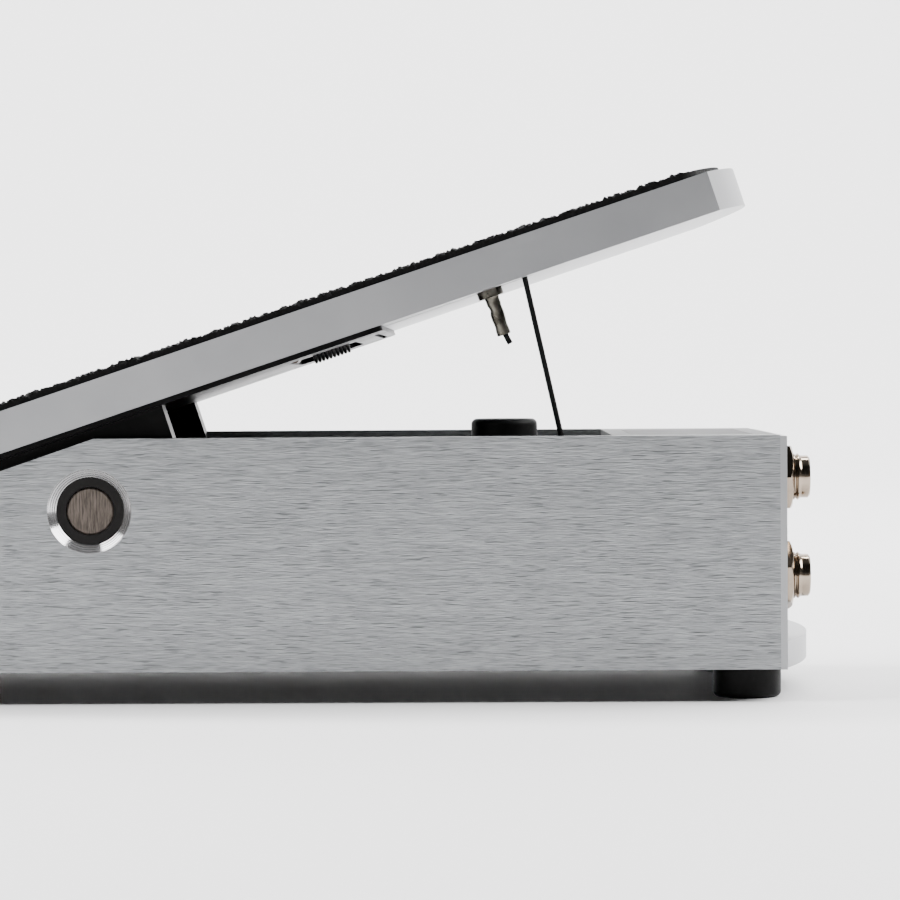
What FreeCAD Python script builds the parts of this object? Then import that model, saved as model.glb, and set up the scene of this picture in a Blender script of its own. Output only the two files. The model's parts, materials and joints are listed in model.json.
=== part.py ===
import FreeCAD, Part
import math
import os
import re

import PartDesign
import Sketcher
from FreeCAD import Placement, Rotation, Vector

# A rocker volume pedal with a string-driven potentiometer. Millimetres, +X towards the toe, +Z up, and the
# origin on the floor under the middle of the pedal. Every piece is drawn about the pivot, at (0, 0):
# heights are counted from the pivot's centre, and the treadle's pieces are drawn level, then tilted to rest.

SIZES = {
    # name: (value, what it is)
    "pivot_x": (-18.0, "the pivot, from the middle of the pedal's footprint"),
    "pivot_to_heel": (107.8, "pivot to the case's heel face"),
    "pivot_to_toe": (138.4, "pivot to the toe plate's face"),
    "pivot_below_top": (14.4, "pivot to the top of the side walls"),
    "rest_tilt": (18.33, "slope of the treadle with the heel down, degrees"),
    "case_width": (89.0, "over the side walls"),
    "wall_height": (46.5, "floor plate's underside to the top of the side walls"),
    "wall_thick": (4.0, "side walls"),
    "floor_thick": (3.0, "floor of the channel"),
    "heel_wall": (9.4, "height of the side walls at the heel face"),
    "slope_start": (0.9, "where the walls begin to slope down, from the pivot"),
    "ledge_width": (4.2, "ledge inside each wall, under the deck and the bezel"),
    "ledge_height": (4.0, "ledge below the deck"),
    "ring_width": (1.75, "polished countersink round each bushing"),
    "foot_height": (6.4, "rubber feet"),
    "foot_radius": (6.85, "rubber feet"),
    "foot_round": (1.2, "rounded lower edge of a foot"),
    "foot_from_end": (7.2, "foot centre from the end face of the case"),
    "foot_from_side": (13.0, "foot centre from the side face"),
    "foot_screw_radius": (1.6, "foot screws"),
    "toe_plate_thick": (1.35, "end plate"),
    "toe_plate_drop": (0.2, "end plate's top below the walls"),
    "lip_height": (5.2, "curved lip along the bottom of the end plate"),
    "lip_reach": (7.1, "lip's middle beyond the end plate's face"),
    "small_screw_radius": (1.0, "small screws"),
    "small_head_radius": (1.7, "their countersunk heads"),
    "small_screw_length": (3.4, "their length under the flat of the head"),
    "heel_plate_thick": (2.0, "plate that closes the heel"),
    "deck_recess": (3.0, "deck below the top of the walls"),
    "deck_thick": (1.5, "deck plate"),
    "deck_start": (30.0, "heel edge of the deck, from the pivot"),
    "bezel_start": (104.0, "heel edge of the display bezel, from the pivot"),
    "bezel_thick": (2.0, "display bezel"),
    "panel_gap": (0.2, "all round the deck and the bezel"),
    "glass_thick": (1.2, "display glass, flush in the bezel"),
    "glass_margin": (4.0, "bezel left at each end of the glass"),
    "glass_half_width": (31.0, "half the glass, across the pedal"),
    "module_near": (-8.0, "near edge of the display module"),
    "module_far": (30.0, "far edge of the display module"),
    "module_thick": (4.0, "display module"),
    "board_thick": (1.6, "tuner board"),
    "shaft_radius": (4.7625, "pivot shaft"),
    "shaft_inset": (1.4, "end of the shaft inside the wall's face"),
    "running_gap": (0.05, "radial clearance of a turning shaft"),
    "bushing_radius": (6.65, "outside of the pivot bushings"),
    "bushing_inset": (1.6, "bushing inside the wall's face"),
    "bumper_radius": (6.95, "rubber stop under the toe"),
    "bumper_x": (82.5, "rubber stop, from the pivot"),
    "bumper_above": (3.0, "rubber stop above the walls"),
    "bumper_stem": (2.5, "radius of its stem in the deck"),
    "heel_bumper_x": (-80.0, "heel stop, from the pivot"),
    "heel_bumper_radius": (6.0, "heel stop"),
    "stop_gap": (0.3, "room left between a stop and the treadle"),
    "footplate_level": (16.5, "underside of the footplate above the pivot, when level"),
    "footplate_thick": (8.0, "footplate"),
    "footplate_heel": (108.0, "footplate behind the pivot"),
    "footplate_toe": (137.5, "footplate in front of the pivot, along its sides"),
    "toe_bow": (8.25, "middle of the footplate's curved toe end beyond its corners"),
    "corner_cut": (5.0, "cut heel corners of the footplate"),
    "pad_thick": (1.2, "grip sheet"),
    "pad_margin": (1.5, "footplate left bare at the sides of the grip sheet"),
    "pad_toe_margin": (2.8, "footplate left bare at the toe of the grip sheet"),
    "web_thick": (1.05, "black plate under the footplate"),
    "web_heel": (90.0, "black plate behind the pivot"),
    "web_toe": (66.7, "black plate in front of the pivot"),
    "web_inset": (0.5, "black plate inside the footplate's side"),
    "cheek_thick": (6.5, "cheeks that carry the shaft"),
    "cheek_gap": (0.6, "between a cheek and the wall"),
    "cheek_front": (20.0, "front edge of the cheeks"),
    "cheek_below": (9.0, "cheeks below the pivot"),
    "cheek_heel": (80.0, "cheeks behind the pivot"),
    "window_start": (45.7, "window in the black plate"),
    "window_end": (60.0, "window in the black plate"),
    "window_half_width": (26.5, "window in the black plate"),
    "bracket_screw_radius": (2.0, "screws between footplate and cheeks"),
    "bracket_head_radius": (3.9, "their countersunk heads"),
    "bracket_screw_depth": (7.0, "their length in the cheeks"),
    "spring_radius": (2.5, "string's tension spring"),
    "spring_level": (16.15, "its axis above the pivot, when level"),
    "spring_y": (-20.0, "its axis, across the pedal"),
    "spring_pocket": (4.3, "pocket for it in the footplate"),
    "string_radius": (0.55, "string"),
    "groove_depth": (2.6, "string's groove in the footplate"),
    "groove_half_width": (1.5, "string's groove in the footplate"),
    "string_exit": (97.0, "where the string leaves the footplate"),
    "string_y": (-35.0, "string's working leg, across the pedal"),
    "ferrule_x": (89.3, "ferrule on the string's tail"),
    "ferrule_y": (-31.7, "ferrule, across the pedal"),
    "ferrule_radius": (1.45, "ferrule tube"),
    "ferrule_length": (8.0, "ferrule tube below its collar"),
    "collar_radius": (2.6, "ferrule collar"),
    "collar_thick": (1.55, "ferrule collar"),
    "anchor_x": (-95.5, "string's heel anchor under the footplate"),
    "anchor_y": (-32.1, "string's heel leg, across the pedal"),
    "anchor_radius": (2.4, "its collar"),
    "anchor_drop": (2.5, "its collar below the footplate"),
    "pulley_x": (92.4, "potentiometer's axis, from the pivot"),
    "pulley_level": (-9.4, "potentiometer's axis, from the pivot"),
    "pulley_radius": (6.0, "pulley under the string"),
    "pulley_rim": (8.0, "pulley's flanges"),
    "rim_thick": (0.8, "pulley's flanges"),
    "pulley_hub": (5.4, "pulley's hub"),
    "wrap_pitch": (1.15, "from one turn of the string to the next"),
    "spindle_radius": (3.175, "potentiometer's spindle"),
    "pot_radius": (12.0, "potentiometer's case"),
    "pot_thick": (12.0, "potentiometer's case"),
    "pot_bushing_radius": (4.7625, "potentiometer's threaded bushing"),
    "pot_bushing_length": (4.5, "potentiometer's threaded bushing"),
    "bracket_thick": (2.0, "potentiometer's bracket"),
    "bracket_y": (-23.0, "near face of the potentiometer's bracket"),
    "guide_radius": (4.0, "heel guide under the string"),
    "guide_floor": (2.8, "string's middle above the floor at the heel guide"),
    "jack_y": (-19.5, "the two jacks, across the pedal"),
    "upper_jack": (37.5, "upper jack above the floor plate's underside"),
    "lower_jack": (17.3, "lower jack above the floor plate's underside"),
    "sleeve_radius": (4.7625, "jack's threaded sleeve"),
    "sleeve_reach": (6.5, "jack's nose beyond the toe plate"),
    "nose_radius": (4.0, "smooth nose of the sleeve"),
    "nose_length": (1.6, "smooth nose of the sleeve"),
    "plug_bore": (3.25, "radius of the jack's bore"),
    "jack_long": (24.0, "jack body"),
    "jack_wide": (16.0, "jack body"),
    "jack_tall": (12.0, "jack body"),
    "sleeve_inside": (4.0, "sleeve inside the jack body"),
    "hole_gap": (0.1, "round what passes through a panel"),
    "nut_flats": (12.7, "jack and potentiometer nuts, across flats"),
    "nut_thick": (2.4, "jack and potentiometer nuts"),
    "washer_radius": (6.2, "washers"),
    "washer_thick": (0.5, "washers"),
    "upper_nut_turn": (30.0, "turn of the upper nut, degrees"),
    "lower_nut_turn": (14.4, "turn of the lower nut, degrees"),
    "power_y": (25.0, "power socket, across the pedal"),
    "power_radius": (5.5, "power socket's sleeve"),
    "power_bore": (2.85, "power socket's bore"),
    "power_reach": (3.3, "power socket beyond the toe plate"),
}

doc = FreeCAD.newDocument("volume_pedal")
sheet = doc.addObject("Spreadsheet::Sheet", "Sizes")
for row, (name, (amount, note)) in enumerate(SIZES.items(), start=1):
    sheet.set(f"A{row}", note)
    sheet.set(f"B{row}", str(amount))
    sheet.setAlias(f"B{row}", name)
doc.recompute()


def sized(text):
    """An expression written with the sheet's names, as FreeCAD wants it."""
    return re.sub(r"[a-z_]+", lambda word: f"Sizes.{word[0]}" if word[0] in SIZES else word[0], str(text))


def number(text):
    """What such an expression comes to now."""
    return float(sheet.evalExpression(sized(text)))


def link(thing, name, text):
    thing.setExpression(name, sized(text))


# Levels and places that follow from the sheet, counted from the pivot.
UNDERSIDE = "(pivot_below_top - wall_height)"
FLOOR = f"({UNDERSIDE} + floor_thick)"
HEEL = "(0 - pivot_to_heel)"
TOE = "(pivot_to_toe - toe_plate_thick)"
INSIDE = "(case_width / 2 - wall_thick)"
DECK_TOP = "(pivot_below_top - deck_recess)"
DECK_UNDER = f"({DECK_TOP} - deck_thick)"
BEZEL_UNDER = "(pivot_below_top - bezel_thick)"
GLASS_UNDER = "(pivot_below_top - glass_thick)"
LEDGE_UNDER = f"({DECK_UNDER} - ledge_height)"
STEP = "(bezel_start - 1)"
PLATE_TOP = "(footplate_level + footplate_thick)"
WEB_UNDER = "(footplate_level - web_thick)"
CHEEK_OUTER = f"({INSIDE} - cheek_gap)"
CHEEK_INNER = f"({CHEEK_OUTER} - cheek_thick)"
CHEEK_MIDDLE = f"({CHEEK_OUTER} - cheek_thick / 2)"
SCREW_Y = "(case_width / 2 - small_head_radius - 0.4)"
PULLEY_NEAR = "(string_y - rim_thick - 0.8)"
PULLEY_FAR = "(bracket_y - pot_bushing_length - 0.7)"


def new_body(label):
    body = doc.addObject("PartDesign::Body", label)
    body.Label = label
    return body


def sketch_on(body, role, offset="0"):
    """A sketch on one of the body's own origin planes, or parallel to it."""
    sketch = body.newObject("Sketcher::SketchObject", "Sketch")
    plane = next(part for part in body.Origin.OriginFeatures if part.Role == role)
    sketch.AttachmentSupport = [(plane, "")]
    sketch.MapMode = "FlatFace"
    if offset != "0":
        link(sketch, ".AttachmentOffset.Base.z", offset)
    return sketch


def hold_point(sketch, line, end, x, y):
    """Fixes one point of a sketch by its two distances from the origin."""
    for kind, text in (("DistanceX", x), ("DistanceY", y)):
        at = sketch.addConstraint(Sketcher.Constraint(kind, -1, 1, line, end, number(text)))
        link(sketch, f"Constraints[{at}]", text)


def outline(sketch, points):
    """A closed outline of straight lines through the points."""
    first = sketch.GeometryCount
    count = len(points)
    spots = [Vector(number(x), number(y), 0) for x, y in points]
    for i in range(count):
        sketch.addGeometry(Part.LineSegment(spots[i], spots[(i + 1) % count]), False)
    for i in range(count):
        joined = Sketcher.Constraint("Coincident", first + i, 2, first + (i + 1) % count, 1)
        sketch.addConstraint(joined)
    for i, (x, y) in enumerate(points):
        hold_point(sketch, first + i, 1, x, y)
    return sketch


def rectangle(sketch, left, right, low, high):
    return outline(sketch, [(left, low), (right, low), (right, high), (left, high)])


def bow(sketch, x, half, rise):
    """A straight chord across at x, closed by an arc that stands out towards the toe."""
    radius = f"(({half}) * ({half}) / (2 * {rise}) + {rise} / 2)"
    near, far = Vector(number(x), -number(half), 0), Vector(number(x), number(half), 0)
    tip = Vector(number(f"{x} + {rise}"), 0, 0)
    chord = sketch.addGeometry(Part.LineSegment(far, near), False)
    arc = sketch.addGeometry(Part.Arc(near, tip, far), False)
    hold_point(sketch, chord, 1, x, half)
    hold_point(sketch, chord, 2, x, f"0 - {half}")
    sketch.addConstraint(Sketcher.Constraint("Coincident", arc, 1, chord, 2))
    sketch.addConstraint(Sketcher.Constraint("Coincident", arc, 2, chord, 1))
    at = sketch.addConstraint(Sketcher.Constraint("Radius", arc, number(radius)))
    link(sketch, f"Constraints[{at}]", radius)
    return sketch


def circle(sketch, x, y, radius):
    ring = Part.Circle(Vector(number(x), number(y), 0), Vector(0, 0, 1), number(radius))
    line = sketch.addGeometry(ring, False)
    at = sketch.addConstraint(Sketcher.Constraint("Radius", line, number(radius)))
    link(sketch, f"Constraints[{at}]", radius)
    hold_point(sketch, line, 3, x, y)
    return sketch


def pad(body, sketch, length, both_ways=False):
    feature = body.newObject("PartDesign::Pad", "Pad")
    feature.Profile = sketch
    feature.SideType = "Symmetric" if both_ways else "One side"
    link(feature, "Length", length)
    doc.recompute()
    return feature


def pocket(body, sketch, length=None, both_ways=False, upwards=False):
    """Cuts the sketch out of the body, against the sketch's normal unless it is upwards."""
    before = body.Shape.Volume
    feature = body.newObject("PartDesign::Pocket", "Pocket")
    feature.Profile = sketch
    feature.SideType = "Symmetric" if both_ways else "One side"
    feature.Reversed = upwards
    if length is None:
        feature.Type = "ThroughAll"
    else:
        link(feature, "Length", length)
    doc.recompute()
    if not feature.Shape.Volume < before - 1e-6:
        raise RuntimeError(f"{body.Label}: a pocket cuts nothing")
    return feature


def edges_where(shape, test):
    return [f"Edge{i}" for i, edge in enumerate(shape.Edges, start=1) if test(edge)]


def upright(edge):
    """Whether an edge is a straight one along Z."""
    ends = [vertex.Point for vertex in edge.Vertexes]
    if len(ends) != 2:
        return False
    run = ends[1] - ends[0]
    return math.hypot(run.x, run.y) < 1e-6


def round_corners(body, radius):
    last = body.Tip
    names = edges_where(last.Shape, upright)
    feature = body.newObject("PartDesign::Fillet", "Fillet")
    feature.Base = (last, names)
    link(feature, "Radius", radius)
    doc.recompute()


TURNS = {"up": 0, "toe": 90, "down": 180}


def place(thing, x="0", y="0", z="0", towards="up", on_treadle=False):
    """Puts a piece drawn along +Z where it belongs: its own Z axis then points up, to the toe and so on."""
    if on_treadle:
        forward = f"(({x}) * cos(rest_tilt) - ({z}) * sin(rest_tilt))"
        height = f"(({x}) * sin(rest_tilt) + ({z}) * cos(rest_tilt))"
    else:
        forward, height = f"({x})", f"({z})"
    if towards in ("near", "far"):
        thing.Placement = Placement(Vector(), Rotation(Vector(1, 0, 0), 90 if towards == "near" else -90))
    else:
        turn = TURNS[towards] - (number("rest_tilt") if on_treadle else 0)
        thing.Placement = Placement(Vector(), Rotation(Vector(0, 1, 0), turn))
        if on_treadle:
            link(thing, ".Placement.Rotation.Angle", f"{TURNS[towards]} - rest_tilt")
            thing.setExpression(".Placement.Rotation.Axis.x", "0")
            thing.setExpression(".Placement.Rotation.Axis.y", "1")
            thing.setExpression(".Placement.Rotation.Axis.z", "0")
    link(thing, ".Placement.Base.x", f"pivot_x + {forward}")
    link(thing, ".Placement.Base.y", y)
    link(thing, ".Placement.Base.z", f"foot_height + wall_height - pivot_below_top + {height}")
    return thing


def turned(label, profile):
    """A body turned about its own Z axis from a profile of (radius, height)."""
    body = new_body(label)
    sketch = outline(sketch_on(body, "XZ_Plane"), profile)
    feature = body.newObject("PartDesign::Revolution", "Revolution")
    feature.Profile = sketch
    feature.ReferenceAxis = (sketch, ["V_Axis"])
    feature.Angle = 360.0
    doc.recompute()
    return body


def tube(label, inner, outer, length):
    return turned(label, [(inner, "0"), (outer, "0"), (outer, length), (inner, length)])


def hexagon(sketch, flats, turn="0"):
    corner = f"({flats}) / sqrt(3)"
    spots = [f"({turn} + {60 * i})" for i in range(6)]
    return outline(sketch, [(f"{corner} * cos({at})", f"{corner} * sin({at})") for at in spots])


def flat_screw(label, head, radius, length):
    """A countersunk screw with a hexagon socket, its flat at z = 0 and its point downwards."""
    cone = f"({head} - {radius})"
    tip = f"0 - ({length})"
    profile = [("0", tip), (radius, tip), (radius, f"0 - {cone}"), (head, "0"), ("0", "0")]
    body = turned(label, profile)
    pocket(body, hexagon(sketch_on(body, "XY_Plane"), radius), f"{cone} * 0.9")
    return body


def group(label, members):
    """Several like pieces as one node, each still a solid of its own."""
    together = doc.addObject("Part::Compound", label)
    together.Label = label
    together.Links = members
    return together


NODES = []


def node(thing):
    NODES.append(thing)
    return thing


# The base.

FOOT_SPOTS = [(f"({end})", side) for end in (f"{HEEL} + foot_from_end", "pivot_to_toe - foot_from_end")
              for side in ("0 - (case_width / 2 - foot_from_side)", "case_width / 2 - foot_from_side")]
TOE_SCREW_LEVELS = (f"({LEDGE_UNDER} + ledge_height / 2)", f"({UNDERSIDE} + lip_height + 6)")
SIDES = ("0 - ", "")
DECK_SCREW_XS = ("(deck_start + 8)", f"({STEP} - 30)")
BEZEL_SCREW_XS = ("(bezel_start + 4)", f"({TOE} - 4)")
LEDGE_Y = f"({INSIDE} - ledge_width / 2)"
POT_SCREW_XS = ("(pulley_x - 9)", "(pulley_x + 9)")
POT_SCREW_Y = "(bracket_y + bracket_thick + 10)"
HEEL_SCREW_YS = ("0 - 12", "12")
HEEL_FLANGE = 8
GUIDE_FACE = "(anchor_y + 2.8)"
GUIDE_SCREW_Y = f"({GUIDE_FACE} + 7)"


def anchor_at_rest():
    """Where the string's heel end is with the treadle at rest, from the pivot."""
    low = "(footplate_level - anchor_drop)"
    along = f"(anchor_x * cos(rest_tilt) - {low} * sin(rest_tilt))"
    return along, f"(anchor_x * sin(rest_tilt) + {low} * cos(rest_tilt))"


HEEL_LEG_X, HEEL_LEG_TOP = anchor_at_rest()
GUIDE_X = f"({HEEL_LEG_X} + guide_radius + string_radius + hole_gap)"
GUIDE_Z = f"({FLOOR} + guide_floor + guide_radius + string_radius + hole_gap - string_radius)"


def chassis():
    """A channel of floor and side walls, with ledges inside and the walls sloped down to the heel."""
    body = new_body("chassis")
    side = [(HEEL, UNDERSIDE), (TOE, UNDERSIDE), (TOE, "pivot_below_top"),
            ("slope_start", "pivot_below_top"), (HEEL, f"{UNDERSIDE} + heel_wall")]
    pad(body, outline(sketch_on(body, "XZ_Plane"), side), "case_width", both_ways=True)
    past_heel, past_toe, past_top = f"{HEEL} - 1", f"{TOE} + 1", "pivot_below_top + 1"
    middle = rectangle(sketch_on(body, "XZ_Plane"), past_heel, past_toe, FLOOR, past_top)
    pocket(body, middle, f"2 * ({INSIDE} - ledge_width)", both_ways=True)
    beside = [(past_heel, FLOOR), (past_toe, FLOOR), (past_toe, LEDGE_UNDER), ("deck_start", LEDGE_UNDER),
              ("deck_start", DECK_UNDER), (STEP, DECK_UNDER), (STEP, BEZEL_UNDER), (past_toe, BEZEL_UNDER),
              (past_toe, past_top), (past_heel, past_top)]
    pocket(body, outline(sketch_on(body, "XZ_Plane"), beside), f"2 * {INSIDE}", both_ways=True)
    bores = pocket(body, circle(sketch_on(body, "XZ_Plane"), "0", "0", "bushing_radius"), both_ways=True)

    def outer_ring(edge):
        ring = edge.Curve
        return isinstance(ring, Part.Circle) and abs(abs(ring.Center.y) - number("case_width / 2")) < 1e-6

    rings = body.newObject("PartDesign::Chamfer", "Rings")
    rings.Base = (bores, edges_where(bores.Shape, outer_ring))
    link(rings, "Size", "ring_width")
    doc.recompute()
    through_floor = sketch_on(body, "XY_Plane", f"{FLOOR} + 1")
    for x, y in FOOT_SPOTS:
        circle(through_floor, x, y, "foot_screw_radius")
    for x in POT_SCREW_XS:
        circle(through_floor, x, POT_SCREW_Y, "small_screw_radius")
    for y in HEEL_SCREW_YS:
        circle(through_floor, f"{HEEL} + heel_plate_thick + {HEEL_FLANGE / 2}", y, "small_screw_radius")
    circle(through_floor, GUIDE_X, GUIDE_SCREW_Y, "small_screw_radius")
    pocket(body, through_floor, "floor_thick + 2")
    for level, xs in ((DECK_UNDER, DECK_SCREW_XS), (BEZEL_UNDER, BEZEL_SCREW_XS)):
        seats = sketch_on(body, "XY_Plane", level)
        for x in xs:
            for sign in SIDES:
                circle(seats, x, f"{sign}{LEDGE_Y}", "small_screw_radius")
        pocket(body, seats, "small_screw_length")
    ends = sketch_on(body, "YZ_Plane", TOE)
    for level in TOE_SCREW_LEVELS:
        for sign in SIDES:
            circle(ends, f"{sign}{SCREW_Y}", level, "small_screw_radius")
    pocket(body, ends, "small_screw_length")
    return node(place(body))


JACK_LEVELS = {"upper": f"({UNDERSIDE} + upper_jack)", "lower": f"({UNDERSIDE} + lower_jack)"}
POWER_LEVEL = JACK_LEVELS["lower"]


def toe_plate():
    """The end plate, with a lip along its foot that bows out past the jacks."""
    body = new_body("toe_plate")
    half, top = "case_width / 2", "pivot_below_top - toe_plate_drop"
    face = rectangle(sketch_on(body, "YZ_Plane", TOE), f"0 - {half}", half, UNDERSIDE, top)
    pad(body, face, "toe_plate_thick")
    lip = sketch_on(body, "XY_Plane", UNDERSIDE)
    pad(body, bow(lip, TOE, half, "(lip_reach + toe_plate_thick)"), "lip_height")
    holes = sketch_on(body, "YZ_Plane", "pivot_to_toe + lip_reach")
    for level in JACK_LEVELS.values():
        circle(holes, "jack_y", level, "sleeve_radius + hole_gap")
    circle(holes, "power_y", POWER_LEVEL, "power_radius + hole_gap")
    for level in TOE_SCREW_LEVELS:
        for sign in SIDES:
            circle(holes, f"{sign}{SCREW_Y}", level, "small_screw_radius")
    bored = pocket(body, holes, "lip_reach + toe_plate_thick + 1")

    def screw_mouth(edge):
        ring = edge.Curve
        at_face = isinstance(ring, Part.Circle) and abs(ring.Center.x - number("pivot_to_toe")) < 1e-6
        return at_face and abs(ring.Radius - number("small_screw_radius")) < 1e-6

    sinks = body.newObject("PartDesign::Chamfer", "Countersinks")
    sinks.Base = (bored, edges_where(bored.Shape, screw_mouth))
    link(sinks, "Size", "small_head_radius - small_screw_radius")
    doc.recompute()
    node(place(body))
    spots = [("pivot_to_toe", f"{sign}{SCREW_Y}", level) for level in TOE_SCREW_LEVELS for sign in SIDES]
    small_screws("toe_plate_screws", spots, "toe")


def small_screws(label, spots, towards="up"):
    """Flat-headed screws at (x, y, z) of their heads."""
    members = []
    for i, (x, y, z) in enumerate(spots, start=1):
        length = "small_screw_length"
        screw = flat_screw(f"{label}_{i}", "small_head_radius", "small_screw_radius", length)
        members.append(place(screw, x, y, z, towards))
    return node(group(label, members))


def heel_plate():
    """A low plate across the heel, with a flange screwed to the floor."""
    body = new_body("heel_plate")
    front = f"{HEEL} + heel_plate_thick"
    flange_end = f"{front} + {HEEL_FLANGE}"
    top = f"{UNDERSIDE} + heel_wall - 0.4"
    side = rectangle(sketch_on(body, "XZ_Plane"), HEEL, front, FLOOR, top)
    pad(body, side, f"2 * {INSIDE}", both_ways=True)
    flange = rectangle(sketch_on(body, "XZ_Plane"), HEEL, flange_end, FLOOR, f"{FLOOR} + heel_plate_thick")
    pad(body, flange, "40", both_ways=True)
    holes = sketch_on(body, "XY_Plane", f"{FLOOR} + heel_plate_thick")
    for y in HEEL_SCREW_YS:
        circle(holes, f"{front} + {HEEL_FLANGE / 2}", y, "small_screw_radius")
    sunk_screw_holes(body, holes, "heel_plate_thick", f"{FLOOR} + heel_plate_thick")
    node(place(body))
    spots = [(f"{front} + {HEEL_FLANGE / 2}", y, f"{FLOOR} + heel_plate_thick") for y in HEEL_SCREW_YS]
    small_screws("heel_plate_screws", spots)


def sunk_screw_holes(body, holes, depth, level, head="small_head_radius", shank="small_screw_radius"):
    """Screw holes down from a level, each with its countersink."""
    bored = pocket(body, holes, depth)

    def mouth(edge):
        ring = edge.Curve
        at_top = isinstance(ring, Part.Circle) and abs(ring.Center.z - number(level)) < 1e-6
        return at_top and abs(ring.Radius - number(shank)) < 1e-6

    sinks = body.newObject("PartDesign::Chamfer", "Countersinks")
    sinks.Base = (bored, edges_where(bored.Shape, mouth))
    link(sinks, "Size", f"{head} - {shank}")
    doc.recompute()


def deck():
    """The black deck on its ledges, open where the string and the ferrule go down."""
    body = new_body("deck_plate")
    half = f"({INSIDE} - panel_gap)"
    level = sketch_on(body, "XY_Plane", DECK_UNDER)
    plan = rectangle(level, "deck_start", f"{STEP} - panel_gap", f"0 - {half}", half)
    pad(body, plan, "deck_thick")
    opening = sketch_on(body, "XY_Plane", DECK_TOP)
    rectangle(opening, "ferrule_x - 5", "string_exit + 4", "string_y - 2", "ferrule_y + 5")
    circle(opening, "bumper_x", "0", "bumper_stem")
    pocket(body, opening, "deck_thick")
    round_corners(body, "1.5")
    holes = sketch_on(body, "XY_Plane", DECK_TOP)
    spots = [(x, f"{sign}{LEDGE_Y}", DECK_TOP) for x in DECK_SCREW_XS for sign in SIDES]
    for x, y, _ in spots:
        circle(holes, x, y, "small_screw_radius")
    sunk_screw_holes(body, holes, "deck_thick", DECK_TOP)
    node(place(body))
    small_screws("deck_screws", spots)
    rise = f"({BEZEL_UNDER} + bezel_thick + bumper_above - {DECK_TOP})"
    stop = turned("toe_bumper", [("0", "0 - deck_thick"), ("bumper_stem", "0 - deck_thick"),
                                 ("bumper_stem", "0"), ("bumper_radius", "0"), ("bumper_radius", rise),
                                 ("0", rise)])
    soften(stop, rise, "bumper_radius", "foot_round")
    node(place(stop, "bumper_x", "0", DECK_TOP))


def soften(body, level, radius, amount):
    """Rounds the outer edge of a turned piece at a level."""
    last = body.Tip

    def rim(edge):
        ring = edge.Curve
        at_level = isinstance(ring, Part.Circle) and abs(ring.Center.z - number(level)) < 1e-6
        return at_level and abs(ring.Radius - number(radius)) < 1e-6

    feature = body.newObject("PartDesign::Fillet", "Rounded")
    feature.Base = (last, edges_where(last.Shape, rim))
    link(feature, "Radius", amount)
    doc.recompute()


def display():
    """The bezel over the toe, its glass, the module behind the glass and the board under that."""
    body = new_body("display_bezel")
    half = f"({INSIDE} - panel_gap)"
    end = f"({TOE} - panel_gap)"
    plan = rectangle(sketch_on(body, "XY_Plane", BEZEL_UNDER), "bezel_start", end, f"0 - {half}", half)
    pad(body, plan, "bezel_thick")
    left, right = "(bezel_start + glass_margin)", f"({end} - glass_margin)"
    recess = sketch_on(body, "XY_Plane", "pivot_below_top")
    pocket(body, rectangle(recess, left, right, "0 - glass_half_width", "glass_half_width"), "glass_thick")
    window = sketch_on(body, "XY_Plane", "pivot_below_top")
    rectangle(window, f"{left} + 2", f"{right} - 2", "module_near", "module_far")
    pocket(body, window, "bezel_thick")
    holes = sketch_on(body, "XY_Plane", "pivot_below_top")
    spots = [(x, f"{sign}{LEDGE_Y}", "pivot_below_top") for x in BEZEL_SCREW_XS for sign in SIDES]
    for x, y, _ in spots:
        circle(holes, x, y, "small_screw_radius")
    sunk_screw_holes(body, holes, "bezel_thick", "pivot_below_top")
    node(place(body))
    small_screws("bezel_screws", spots)
    glass = new_body("display_glass")
    edge = "glass_half_width - hole_gap"
    face = sketch_on(glass, "XY_Plane", GLASS_UNDER)
    rectangle(face, f"{left} + hole_gap", f"{right} - hole_gap", f"0 - ({edge})", edge)
    pad(glass, face, "glass_thick")
    node(place(glass))
    module = new_body("display_module")
    back = f"({GLASS_UNDER} - module_thick)"
    plan = sketch_on(module, "XY_Plane", back)
    rectangle(plan, f"{left} + 2.3", f"{right} - 2.3", "module_near + 0.3", "module_far - 0.3")
    pad(module, plan, "module_thick")
    node(place(module))
    board = new_body("tuner_board")
    plan = rectangle(sketch_on(board, "XY_Plane", f"{back} - board_thick"), "bezel_start + 2", f"{TOE} - 2",
                     "module_near - 1", f"{INSIDE} - ledge_width - 1.5")
    pad(board, plan, "board_thick")
    node(place(board))


def bushings():
    """A black bushing in each wall, with running clearance round the shaft."""
    length = "(wall_thick - bushing_inset)"
    for label, towards, sign in (("pivot_bushing_near", "near", "0 - "), ("pivot_bushing_far", "far", "")):
        ring = tube(label, "shaft_radius + running_gap", "bushing_radius", length)
        node(place(ring, "0", f"{sign}{INSIDE}", "0", towards))


def feet():
    """Four turned rubber feet, each held by a screw from inside the floor."""
    names = ("foot_heel_near", "foot_heel_far", "foot_toe_near", "foot_toe_far")
    screws = []
    for label, (x, y) in zip(names, FOOT_SPOTS):
        foot = turned(label, [("foot_screw_radius", "0"), ("foot_radius", "0"),
                              ("foot_radius", "foot_height"), ("foot_screw_radius", "foot_height")])
        soften(foot, "foot_height", "foot_radius", "foot_round")
        node(place(foot, x, y, UNDERSIDE, "down"))
        length = "(floor_thick + foot_height - 2)"
        screw = flat_head(f"{label}_screw", "foot_screw_radius * 2", "foot_screw_radius", "1.4", length)
        screws.append(place(screw, x, y, FLOOR))
    node(group("foot_screws", screws))


def flat_head(label, head, radius, head_height, length):
    """A screw whose low round head stands on z = 0, with a hexagon socket."""
    body = turned(label, [("0", f"0 - {length}"), (radius, f"0 - {length}"), (radius, "0"), (head, "0"),
                          (head, head_height), ("0", head_height)])
    pocket(body, hexagon(sketch_on(body, "XY_Plane", head_height), radius), f"{head_height} * 0.8")
    return body


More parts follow.
